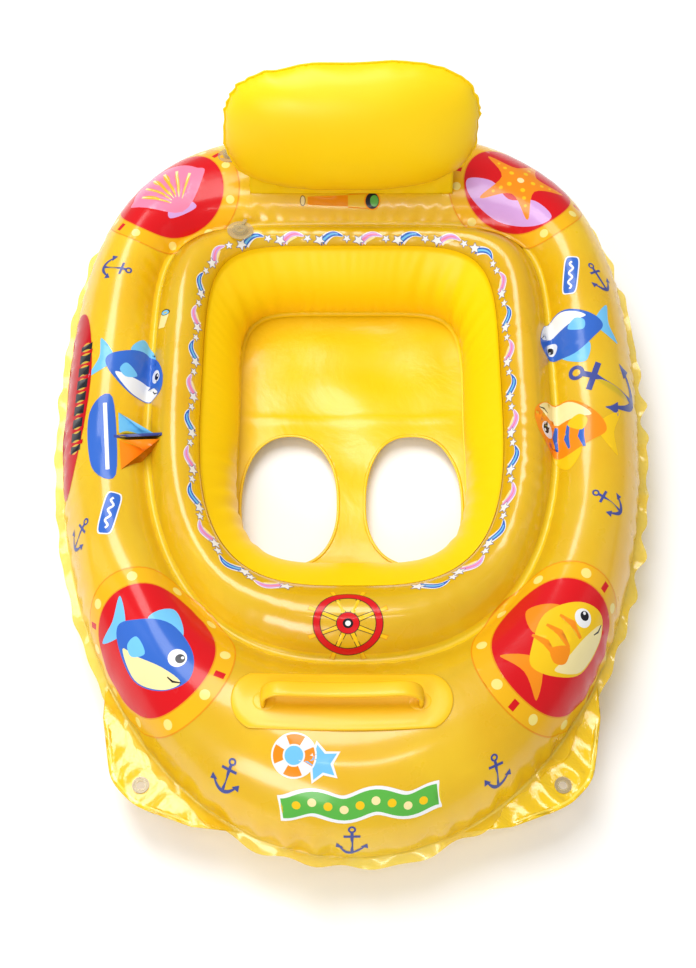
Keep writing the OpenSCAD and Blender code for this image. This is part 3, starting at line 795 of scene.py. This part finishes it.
def ship_wheel():
    d = Drawing()
    spokes = rays(8, TURN / 16)
    for way in spokes:
        d.stroke("edge", [0.034 * way, 0.045 * way], [0.0040, 0.0056])
        d.stroke("yellow", [0.034 * way, 0.0445 * way], [0.0028, 0.0042])
    d.circle("black", 0, 0, 0.0372, 56).circle("red", 0, 0, 0.0364, 56)
    d.circle("black", 0, 0, 0.0298, 56).circle(None, 0, 0, 0.0290, 56)
    for way in spokes:
        d.stroke("black", [0.006 * way, 0.0292 * way], [0.0062, 0.0050])
        d.stroke("yellow", [0.006 * way, 0.0290 * way], [0.0048, 0.0034])
    d.circle("black", 0, 0, 0.0125, 32).circle("red", 0, 0, 0.0117, 32)
    return d.circle("black", 0, 0, 0.0056, 20).circle("white", 0, 0, 0.0030, 16)


def label():
    """Plain rounded label with a white wave."""
    d = Drawing()
    d.add("white", oval(0.0265, 0.0095, 5, 40)).add("blue", oval(0.0250, 0.0080, 5, 40))
    x = np.linspace(-0.019, 0.019, 25)
    return d.stroke("white", np.stack([x, 0.0022 * np.sin(x / 0.038 * 3 * TURN)], -1), 0.0026)


def sailboat(hull_ink, sail_ink, other_ink):
    d = Drawing()
    d.blob(hull_ink, [(-0.042, -0.014), (0.042, -0.014), (0.030, -0.036), (-0.028, -0.036)])
    d.stroke("white", [(-0.036, -0.021), (0.036, -0.021)], 0.0035)
    d.stroke("navy", [(0, -0.014), (0, 0.046)], 0.0030)
    d.add(sail_ink, [(0.004, 0.043), (0.036, -0.009), (0.004, -0.009)])
    d.add(other_ink, [(-0.004, 0.036), (-0.026, -0.009), (-0.004, -0.009)])
    return d


def comet(tail_ink, light_ink, side, bit):
    """White star at the head of a curved tail, 36 mm long, with a small star behind."""
    u = np.linspace(0, 1, 13)
    x = -0.0125 + 0.0225 * u
    outer = side * (0.0005 + 0.0085 * np.sin(PI * (0.12 + 0.80 * u)))
    width = 0.0006 + 0.0086 * u ** 0.7
    inner = outer - side * width
    d = Drawing().stroke("white", np.stack([x, outer - side * width / 2], -1), width + 0.0014)
    d.add(tail_ink, np.concatenate([np.stack([x, outer], -1), np.stack([x, inner], -1)[::-1]]))
    d.stroke(light_ink, np.stack([x, outer - side * width * 0.50], -1)[3:], 0.0002 + 0.26 * width[3:])
    if bit:
        d.stroke(bit, np.stack([x, outer - side * (width + 0.0016)], -1)[4:11],
                 [0.0004, 0.0020, 0.0028, 0.0032, 0.0028, 0.0020, 0.0004])
    for x, y, r in ((0.0135, -0.0010, 0.0062), (-0.0165, 0.0006, 0.0044)):
        edge = 0.0010 if x > 0 else 0.0008
        d.star("navy", x, side * y, r + edge, 0.50).star("white", x, side * y, r, 0.48)
    return d


def lifebuoy():
    d = Drawing()
    d.circle("white", 0, 0, 0.0230, 44).circle("orange", 0, 0, 0.0212, 44)
    for k in range(4):
        t0 = (k + 0.25) * TURN / 4
        t = np.linspace(t0, t0 + TURN / 10, 7)
        outer = np.stack([0.0212 * np.cos(t), 0.0212 * np.sin(t)], -1)
        d.add("white", np.concatenate([outer, outer[::-1] * 0.5]))
    return d.circle("white", 0, 0, 0.0112, 32).circle("sky", 0, 0, 0.0095, 32)


def banner():
    """Green wavy pennant strip with a white outline."""
    length, high = 0.164, 0.0040
    x = np.linspace(-length / 2, length / 2, 41)
    wave = high * np.sin(x / length * 2.5 * TURN)
    d = Drawing().stroke("white", np.stack([x, wave], -1), 0.0300)
    d.stroke("green", np.stack([x * 0.965, wave], -1), 0.0230)
    for k in range(9):
        at = -0.064 + 0.016 * k
        level = high * math.sin(at / length * 2.5 * TURN)
        d.circle("cream" if k % 2 else "yellow", at, level, 0.0045, 18)
    return d


def spyglass():
    """Closed spyglass, thin at the eyepiece and wide at the lens."""
    d = Drawing().add("amber", [(-0.044, -0.0050), (0.006, -0.0070), (0.006, 0.0070), (-0.044, 0.0050)])
    d.ellipse("black", -0.050, 0, 0.0034, 0.0066).ellipse("cream", -0.050, 0, 0.0026, 0.0056)
    d.add("yellow", [(0.006, -0.0078), (0.034, -0.0096), (0.034, 0.0096), (0.006, 0.0078)])
    for edge in (-1, 1):
        d.stroke("amber", [(0.006, 0.0078 * edge), (0.034, 0.0096 * edge)], 0.0013)
    d.ellipse("amber", 0.036, 0, 0.0100, 0.0115).ellipse("black", 0.036, 0, 0.0084, 0.0100)
    return d.ellipse("green", 0.0385, 0, 0.0052, 0.0070)


def bucket():
    """Small cream bucket, 14 mm wide and 19 mm tall, seen a little from above."""
    d = Drawing().add("cream", [(-0.0055, -0.0090), (0.0055, -0.0090), (0.0070, 0.0070), (-0.0070, 0.0070)])
    d.ellipse("black", 0, 0.0070, 0.0074, 0.0034)
    return d.ellipse("sky", 0, 0.0068, 0.0062, 0.0025)


def side_panel():
    """Red deck ladder with dark rungs, on the port side."""
    d = Drawing()
    d.blob("deep_red", [(-0.108, -0.012), (-0.050, -0.032), (0.040, -0.034), (0.108, -0.016),
                        (0.106, 0.020), (0.0, 0.022), (-0.106, 0.016)])
    d.add("black", [(-0.070, -0.030), (0.066, -0.032), (0.066, -0.014), (-0.070, -0.013)])
    for k in range(8):
        x = -0.061 + 0.0165 * k
        d.stroke("deep_red", [(x, -0.033), (x + 0.003, -0.012)], 0.0050)
    return d


# Ring of comets, a little outside the rim, with a gap for the ship's wheel

BORDER_S = 3 - 0.14
BORDER_GAP = 0.127
BORDER_UNITS = 28


def border_places():
    """Even places along the border, as (a, heading)."""
    a = np.linspace(-PI / 2, 3 * PI / 2, 4001)
    p = smooth_top(a, np.full_like(a, BORDER_S))
    step = np.linalg.norm(np.diff(p, axis=0), axis=1)
    run = np.concatenate([[0], np.cumsum(step)])
    pitch = (run[-1] - BORDER_GAP) / BORDER_UNITS
    at = BORDER_GAP / 2 + pitch * (np.arange(BORDER_UNITS) + 0.5)
    angle = np.interp(at, run, a)
    ahead = smooth_top(angle + 0.01, np.full_like(angle, BORDER_S))
    behind = smooth_top(angle - 0.01, np.full_like(angle, BORDER_S))
    heading = np.arctan2(ahead[:, 1] - behind[:, 1], ahead[:, 0] - behind[:, 0])
    return [(float(u), float(h)) for u, h in zip(angle, heading)]


# The comets fly up both sides from the bow, and meet at this direction from the plan centre
BORDER_TURN = PI / 4
COMETS = (("blue", "blue", "sky", None), ("lilac", "lilac", "pink", "cream"))


def border_spot(a, heading):
    """Place of one comet, a little larger and higher where the ring faces the bow."""
    bow = max(0, -math.sin(a)) ** 2
    return a, BORDER_S - 0.05 * bow, heading, 1.12 + 0.22 * bow


border = border_places()
for k, (name, tail, light, bit) in enumerate(COMETS):
    here = [border_spot(a, h) for a, h in border[k::2] if a > BORDER_TURN]
    back = [border_spot(a, h + PI) for a, h in border[k::2] if a <= BORDER_TURN]
    decal("star_border_" + name + "_port", comet(tail, light, -1, bit), here, spacing=0.004)
    decal("star_border_" + name + "_starboard", comet(tail, light, 1, bit), back, spacing=0.004)


def spot(x, y, heading_deg, size=1.0):
    """Place of a print at the plan place x, y, as decal takes it."""
    a, s = place_on_tube(x, y)
    return a, s, math.radians(heading_deg), size


PORTHOLES = (
    ("bow_port", -0.214, -0.2755, -35, 0.95, fish("blue", "sky", "cream")),
    ("bow_starboard", 0.220, -0.2715, 35, 0.98, fish("yellow", "orange", "cream", "orange")),
    ("stern_port", -0.226, 0.3385, 30, 0.88, shell()),
    ("stern_starboard", 0.208, 0.3465, -30, 0.88, starfish()),
)
for name, x, y, heading, size, picture in PORTHOLES:
    decal("porthole_" + name, porthole(picture), [spot(x, y, heading, size)])

decal("anchors", anchor(), [
    spot(-0.282, 0.2185, -107), spot(-0.298, -0.1325, -34), spot(0.282, -0.0995, 58),
    spot(0.296, 0.2075, 30), spot(-0.126, -0.4075, -27), spot(0.147, -0.4005, 15), spot(0.0, -0.4655, 0),
])
decal("large_anchor", anchor(), [spot(0.294, 0.0575, 68, 2.3)], spacing=0.0022)
decal("ship_wheel", ship_wheel(), [spot(-0.004, -0.2475, 0)])
decal("bow_lifebuoy", lifebuoy(), [spot(-0.058, -0.3935, 0)])
decal("bow_star", Drawing().star("white", 0, 0, 0.0225, 0.55).star("sky", 0, 0, 0.0185, 0.52),
      [spot(-0.031, -0.4010, 12)])
decal("bow_banner", banner(), [spot(0.008, -0.4385, 3)])
decal("labels", label(), [spot(-0.264, -0.1165, 80), spot(0.262, 0.2075, 80)])
decal("stern_spyglass", spyglass(), [spot(-0.010, 0.327, 0)])
decal("small_bucket", bucket(), [spot(-0.222, 0.150, -12, 1.25)])
decal("side_fish_port", fish("blue", "sky", "white"), [spot(-0.250, 0.078, -12, 0.84)])
decal("side_boat_port", sailboat("blue", "orange", "sky"), [spot(-0.252, -0.015, -84, 1.22)])
decal("side_fish_starboard", fish("blue", "sky", "white"), [spot(0.258, 0.130, 190, 0.84)])
decal("side_striped_fish_starboard", fish("orange", "yellow", "cream", "blue"),
      [spot(0.248, 0.0, 172, 0.95)])
decal("side_ladder_port", side_panel(), [spot(-0.326, 0.045, 88, 1.06)])


# Handle

def hull_z(x, y):
    a = np.arctan2(y - PLAN_Y, x)
    rise = crown(a)
    centre, half, _ = tube_arc(a, rise, GROOVE_Z - SEAM_Z)
    share = (np.hypot(x, y - PLAN_Y) - centre) / half
    return SEAM_Z + rise * np.sqrt(np.clip(1 - share * share, 0, 1))


def stadium(half_l, half_w):
    """Outline with straight sides and round ends."""
    t = np.arange(160) * TURN / 160
    ends = half_l - half_w
    return np.stack([ends * np.clip(2.2 * np.cos(t), -1, 1) + half_w * np.cos(t), half_w * np.sin(t)], -1)


def patch_piece():
    """Reinforcing patch with a rolled edge and a pressed line inside it."""
    shares = np.array([0, 0.15, 0.3, 0.45, 0.6, 0.72, 0.80, 0.84, 0.88, 0.94, 0.985, 1.0, 1.0])
    height = np.array([1.5, 1.5, 1.5, 1.5, 1.5, 1.5, 1.45, 1.2, 1.45, 1.5, 1.2, 0.6, 0.0]) * 0.001
    ring = stadium(PATCH_L / 2, PATCH_W / 2 + 0.0025)
    x = HANDLE_X + ring[:, None, 0] * shares[None, :]
    y = HANDLE_Y + 0.0025 + ring[:, None, 1] * shares[None, :]
    z = hull_z(x, y) + height[None, :] + 0.0008
    points = np.stack([x, y, z], -1)
    return skin_object("handle_patch_skin", points, PATCH, flip=True)


patch = patch_piece()
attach(patch, "hull")
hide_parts("handle_patch")


def grip_path():
    """Middle line of the strap: up from each foot, round a wide bend, and sagging a little between."""
    half, top = GRIP_L / 2 - GRIP_T / 2, GRIP_GAP + GRIP_T / 2 + 0.0014
    corner = 0.6 * top
    turn = np.linspace(0, PI / 2, 14)
    level = np.linspace(half - 1.4 * corner, 0, 12)[1:]
    x = np.concatenate([[half, half], half - 1.4 * corner * (1 - np.cos(turn)), level])
    z = np.concatenate([[-0.001, top / 4], top - corner * (1 - np.sin(turn)),
                        top - 0.0026 * (1 - (level / level[0]) ** 2)])
    line = np.stack([x, z], -1)
    return np.concatenate([line, (line * [-1, 1])[-2::-1]])


def grip_piece():
    """Moulded grip: a flat rounded strap on two steep feet."""
    tilt_n = Vector((0, hull_z(HANDLE_X, HANDLE_Y - 0.001) - hull_z(HANDLE_X, HANDLE_Y + 0.001), 0.002))
    tilt = -math.atan2(tilt_n.y, tilt_n.z)
    base = float(hull_z(HANDLE_X - GRIP_L / 2, HANDLE_Y)) + 0.0018
    line, sides = grip_path(), 24
    ahead = np.gradient(line, axis=0)
    ahead = ahead / np.linalg.norm(ahead, axis=1)[:, None]
    strap = oval(GRIP_W / 2, GRIP_T / 2, 2.8, sides)
    points = np.zeros((len(line), sides, 3))
    points[..., 0] = line[:, None, 0] + ahead[:, None, 1] * strap[None, :, 1]
    points[..., 2] = line[:, None, 1] - ahead[:, None, 0] * strap[None, :, 1]
    c, s = math.cos(tilt), math.sin(tilt)
    y, z = strap[None, :, 0] + 0 * points[..., 2], points[..., 2].copy()
    points[..., 0] += HANDLE_X
    points[..., 1] = HANDLE_Y + y * c - z * s
    points[..., 2] = base + y * s + z * c
    caps = [np.arange(sides)[::-1], len(line) * sides - sides + np.arange(sides)]
    faces = [*pipe_faces(len(line), sides, ring=False)[:, [0, 3, 2, 1]], *caps]
    return mesh_object("handle_grip_moulding", points.reshape(-1, 3), faces, [PATCH])


def foot_pad(side):
    """Low round pad welded over one foot of the grip."""
    shares = np.array([0, 0.4, 0.8, 0.93, 1.0, 1.0])
    height = np.array([2.8, 2.8, 2.7, 2.3, 1.6, 0.8]) * 0.001
    ring = oval(0.0125, 0.0115, 2, 48)
    x = HANDLE_X + side * (GRIP_L / 2 - 0.004) + ring[:, None, 0] * shares[None, :]
    y = HANDLE_Y + ring[:, None, 1] * shares[None, :]
    z = hull_z(x, y) + height[None, :]
    name = "handle_foot_" + ("port" if side < 0 else "starboard")
    return skin_object(name, np.stack([x, y, z], -1), PATCH, flip=True)


for side in (-1, 1):
    pad = foot_pad(side)
    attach(pad, "hull")

grip = grip_piece()
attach(grip, "hull")
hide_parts("handle_grip")


# Tow flaps

FLAP_Z = SEAM_Z - FILM - 0.0006
FLAP_CORNERS = np.array([(-0.266, PLAN_Y - 0.380), (-0.254, PLAN_Y - 0.448),
                         (-0.226, PLAN_Y - 0.477), (-0.166, PLAN_Y - 0.498)])
TOW_X, TOW_Y, TOW_R = 0.221, PLAN_Y - 0.454, 0.0058


def flap_piece(side, crumple):
    """Flap welded under the flange, with a pale welded border and its tow hole."""
    a = np.radians(np.linspace(257, 232, 14))
    r = plan_radius(SEAM, a) - FLANGE_W + 0.003
    weld = np.stack([r * np.cos(a), PLAN_Y + r * np.sin(a)], -1)
    corners = [FLAP_CORNERS[0]]
    for before, here, after in zip(FLAP_CORNERS, FLAP_CORNERS[1:], FLAP_CORNERS[2:]):
        for t in np.linspace(0, 1, 7):
            p0, p2 = here + 0.014 * unit(before - here), here + 0.014 * unit(after - here)
            corners.append((1 - t) ** 2 * p0 + 2 * t * (1 - t) * here + t * t * p2)
    corners.append(FLAP_CORNERS[-1])
    loop = np.concatenate([weld, corners])
    # The border line runs a little inside the free edges
    border = ribbon(lerp(np.array(corners), np.array([-0.185, PLAN_Y - 0.400]), 0.045), 0.0022)
    hole = np.array([(-TOW_X, TOW_Y)]) + oval(TOW_R, TOW_R, 2, 32)
    flat, tris = fill_flat([loop, hole, border], 0.003)
    middle = flat[tris].mean(1)
    keep = inside(loop, middle) & ~inside(hole, middle)
    flat, tris = tidy_mesh(flat, tris[keep])
    welded = inside(border, flat[tris].mean(1))
    x, y = flat[:, 0], flat[:, 1]
    ang = np.arctan2(y - PLAN_Y, x)
    out = np.hypot(x, y - PLAN_Y) - (plan_radius(SEAM, ang) - FLANGE_W)
    free = np.clip(out / 0.03, 0, 1)
    near_hole = np.clip((np.hypot(x + TOW_X, y - TOW_Y) - 0.009) / 0.012, 0, 1)
    bend = 0.012 * np.sin(60 * x + 40 * y)
    wave = 1.2 * np.abs(np.sin(85 * (x + bend) + 60 * y)) + np.sin(170 * y - 90 * (x - bend) + 1)
    wave = wave + 0.5 * np.sin(310 * (x + bend) + 1.7)
    z = FLAP_Z - 0.0002 + free * near_hole * crumple * wave
    points = np.column_stack([-side * x, y, z])
    if side > 0:
        tris = tris[:, ::-1]
    name = "tow_flap_skin_" + ("port" if side < 0 else "starboard")
    return thicken(mesh_object(name, points, tris, [FLAP, FLAP_WELD], welded), 0.0006)


def unit(v):
    return v / np.linalg.norm(v)


for side, node_name, crumple in ((-1, "tow_flap_left", 0.0012), (1, "tow_flap_right", 0.0018)):
    flap = flap_piece(side, crumple)
    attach(flap, "hull")
    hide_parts(node_name)


# Backrest

def on_backrest(points):
    """From the backrest's own frame, standing on its fold line, to the boat's frame."""
    c, s = math.cos(LEAN), math.sin(LEAN)
    x, y, z = points[..., 0], points[..., 1], points[..., 2]
    return np.stack([FOLD.x + x, FOLD.y + y * c + z * s, FOLD.z + z * c - y * s], -1)


def in_backrest(point):
    """A place of the boat's frame in the backrest's own frame."""
    c, s = math.cos(LEAN), math.sin(LEAN)
    d = Vector(point) - FOLD
    return Vector((d.x, d.y * c - d.z * s, d.y * s + d.z * c))


BLOW_FRAMES = 20
SHEET = {"quality": 6, "mass": 0.05, "tension_stiffness": 60, "compression_stiffness": 15,
         "shear_stiffness": 30, "bending_stiffness": 1.0, "air_damping": 2,
         "use_pressure": True, "uniform_pressure_force": PILLOW_PRESSURE}


def blown_up(points, faces):
    """The closed sheets after the air is let in, as cloth."""
    piece = mesh_object("pillow_blank", points, faces)
    cloth = piece.modifiers.new("cloth", "CLOTH")
    for key, value in SHEET.items():
        setattr(cloth.settings, key, value)
    cloth.settings.effector_weights.gravity = 0
    cloth.point_cache.frame_start = 1
    cloth.point_cache.frame_end = BLOW_FRAMES
    for k in range(1, BLOW_FRAMES + 1):
        bpy.context.scene.frame_set(k)
    graph = bpy.context.evaluated_depsgraph_get()
    after = np.array([v.co for v in piece.evaluated_get(graph).data.vertices])
    mesh = piece.data
    bpy.data.objects.remove(piece)
    bpy.data.meshes.remove(mesh)
    bpy.context.scene.frame_set(1)
    return after


def relaxed(points, faces):
    """The same points with their small folds eased out, as in tightly filled vinyl."""
    pairs = np.concatenate([faces[:, [0, 1]], faces[:, [1, 2]], faces[:, [2, 0]]])
    count = np.bincount(pairs[:, 0], minlength=len(points))[:, None]
    eased = points
    for _ in range(16):
        total = np.zeros_like(points)
        np.add.at(total, pairs[:, 0], eased[pairs[:, 1]])
        eased = (eased + total / count) / 2
    return eased


def both_sheets(share, edge):
    """A value that each point of the front sheet has, for the points of both sheets."""
    return np.concatenate([share, share[~edge]])


def pillow_piece():
    """Front and rear sheets cut flat, welded round the edge and blown up."""
    cut = oval(*PILLOW_CUT, PILLOW_POWER, 128)
    flat, tris = fill_flat([cut], 0.006)
    flat, tris = tidy_mesh(flat, tris[inside(cut, flat[tris].mean(1))])
    share = ((np.abs(flat) / PILLOW_CUT) ** PILLOW_POWER).sum(1)
    edge = share > 0.999
    puff = PILLOW_PUFF * np.sqrt(np.clip(1 - share, 0, 1))
    rear = np.arange(len(flat))
    rear[~edge] = len(flat) + np.arange((~edge).sum())
    front = np.column_stack([flat[:, 0], -puff, flat[:, 1]])
    back = np.column_stack([flat[:, 0], puff, flat[:, 1]])[~edge]
    points = np.concatenate([front, back])
    faces = np.concatenate([tris, rear[tris][:, ::-1]])
    after = relaxed(blown_up(points, faces), faces)
    after = after - (after.max(0) + after.min(0)) / 2
    size = np.array([PILLOW_HALF_W + PILLOW_SEAM, PILLOW_DEPTH, PILLOW_HALF_H + PILLOW_SEAM])
    after = after * (size / after.max(0))
    # Fine puckers along the weld, strongest at the two round ends
    turn = np.arctan2(after[:, 2] / size[2], after[:, 0] / size[0])
    near = np.exp(-((1 - both_sheets(share, edge)) / 0.10) ** 2) * np.abs(np.cos(turn)) ** 3
    after[:, [0, 2]] *= 1 + (0.011 * near * ripple(turn, 53, 30, 56))[:, None]
    # The rear sheet keeps clear of the stern tube when the backrest leans back
    out = (np.abs(after[:, [0, 2]]) / [PILLOW_HALF_W, PILLOW_HALF_H]) ** PILLOW_POWER
    out = out.sum(1).clip(0, 1) ** (1 / PILLOW_POWER)
    after[:, 1] = np.minimum(after[:, 1], PILLOW_DEPTH * (1 - out ** 2.4) ** 0.6)
    after = after + [0, 0, PILLOW_MID]
    # The rear sheet lies flat against the valve's flange
    low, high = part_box("backrest_valve_flange")
    valve = in_backrest(low.lerp(high, 0.5))
    away = np.hypot(after[:, 0] - valve.x, after[:, 2] - valve.z)
    behind = after[:, 1] > 0.004
    at_valve = after[behind & (away < 0.010), 1].mean()
    after[:, 1] += np.where(behind, np.exp(-(away / 0.030) ** 4) * (valve.y - 0.0006 - at_valve), 0)
    piece = mesh_object("backrest_pillow", on_backrest(after), faces, [YELLOW])
    ring = np.where(edge)[0]
    ring = ring[np.argsort(np.arctan2(flat[ring, 1] / PILLOW_CUT[1], flat[ring, 0] / PILLOW_CUT[0]))]
    return soften(piece), after[ring]


def pillow_seam(ring):
    """Narrow weld that stands out round the pillow's edge."""
    ahead = np.roll(ring, -1, 0) - np.roll(ring, 1, 0)
    out = np.stack([ahead[:, 2], 0 * ahead[:, 1], -ahead[:, 0]], -1)
    out = out / np.linalg.norm(out, axis=1)[:, None]
    rows_out = [ring - 0.001 * out, ring + 0.0010 * out, ring + 0.0022 * out]
    piece = skin_object("backrest_seam", on_backrest(np.stack(rows_out, 1)), YELLOW)
    return thicken(piece, 0.0008, 0)


pillow, weld_ring = pillow_piece()
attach(pillow, "backrest")
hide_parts("backrest_front_sheet", "backrest_rear_sheet")
weld_line = pillow_seam(weld_ring)
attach(weld_line, "backrest")


def base_panel():
    """Skirt from the fold line up to the pillow's seam."""
    cols = np.linspace(-0.5, 0.5, 65) * PANEL_W
    a, b = PILLOW_HALF_W + PILLOW_SEAM / 2, PILLOW_HALF_H + PILLOW_SEAM / 2
    upper = PILLOW_MID - b * (1 - (np.abs(cols) / a) ** PILLOW_POWER) ** (1 / PILLOW_POWER)
    v = np.linspace(0, 1, 17)
    x = cols[:, None] + 0 * v[None, :]
    z = lerp(0.001, upper[:, None], v[None, :])
    slack = np.sin(PI * v)[None, :]
    y = 0.0008 + 0.0012 * slack * (np.sin(150 * x) + 0.6 * np.sin(310 * x + 2)) * 0.6
    piece = skin_object("backrest_skirt", on_backrest(np.stack([x, y, z], -1)), YELLOW, ring=False)
    return thicken(piece, 0.0005, 0)


skirt = base_panel()
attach(skirt, "backrest")
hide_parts("backrest_base_panel")


# Valves and eyelets stay as the CAD has them, in clear vinyl

for name, obj in frame["nodes"].items():
    if "valve" in name or "eyelet" in name:
        obj.data.materials.clear()
        obj.data.materials.append(CLEAR)


# Floor, light and camera

def floor_material():
    material = bpy.data.materials.new("studio_floor")
    material.use_nodes = True
    node, link = node_tools(material)
    place = node("ShaderNodeTexCoord")
    noise = node("ShaderNodeTexNoise", Scale=3.0)
    ramp = node("ShaderNodeValToRGB")
    ramp.color_ramp.elements[0].color = (0.93, 0.93, 0.93, 1)
    ramp.color_ramp.elements[1].color = (0.96, 0.96, 0.96, 1)
    body = node("ShaderNodeBsdfPrincipled", Roughness=0.7)
    out = node("ShaderNodeOutputMaterial")
    link(place, "Object", noise, "Vector")
    link(noise, "Fac", ramp, "Fac")
    link(ramp, "Color", body, "Base Color")
    link(body, "BSDF", out, "Surface")
    return material


FLOOR_HALF = 6
floor_corners = [(x * FLOOR_HALF, y * FLOOR_HALF, 0) for x, y in ((-1, -1), (1, -1), (1, 1), (-1, 1))]
floor = mesh_object("studio_floor", floor_corners, [(0, 1, 2, 3)], [floor_material()])


def softbox(name, place, aim, size, power):
    light = bpy.data.lights.new(name, "AREA")
    light.shape = "RECTANGLE"
    light.size, light.size_y = size
    light.energy = power
    obj = bpy.data.objects.new(name, light)
    obj.location = place
    obj.rotation_euler = (Vector(aim) - Vector(place)).to_track_quat("-Z", "Y").to_euler()
    bpy.context.scene.collection.objects.link(obj)


softbox("overhead", (-0.60, 0.95, 2.6), (-0.35, 0.50, 0), (1.1, 2.5), 66)
softbox("bow_fill", (-1.1, -2.4, 2.0), (0, -0.1, 0.1), (1.6, 0.9), 44)
softbox("port_strip", (-2.0, 0.3, 1.5), (0, 0, 0.1), (0.35, 2.2), 2.5)
softbox("starboard_strip", (2.0, 0.3, 1.3), (0, 0, 0.1), (0.35, 2.2), 1.2)
softbox("window_strip", (0.1, -0.9, 2.4), (0, -0.3, 0.1), (0.8, 0.07), 4)

scene = bpy.context.scene
world = bpy.data.worlds.new("studio")
world.use_nodes = True
sky = world.node_tree.nodes["Background"]
sky.inputs["Color"].default_value = (1, 1, 1, 1)
sky.inputs["Strength"].default_value = 0.40
scene.world = world
scene.view_settings.view_transform = "Standard"

CAMERA_AIM = Vector((-0.004, -0.0225, 0.05))
CAMERA_ELEVATION = math.radians(61)
CAMERA_DISTANCE = 1.8
camera = bpy.data.cameras.new("camera")
camera.lens = 56.77
camera.sensor_width = 36
camera_obj = bpy.data.objects.new("camera", camera)
camera_obj.location = CAMERA_AIM + CAMERA_DISTANCE * Vector(
    (0, -math.cos(CAMERA_ELEVATION), math.sin(CAMERA_ELEVATION)))
camera_obj.rotation_euler = (PI / 2 - CAMERA_ELEVATION, 0, 0)
scene.collection.objects.link(camera_obj)
scene.camera = camera_obj
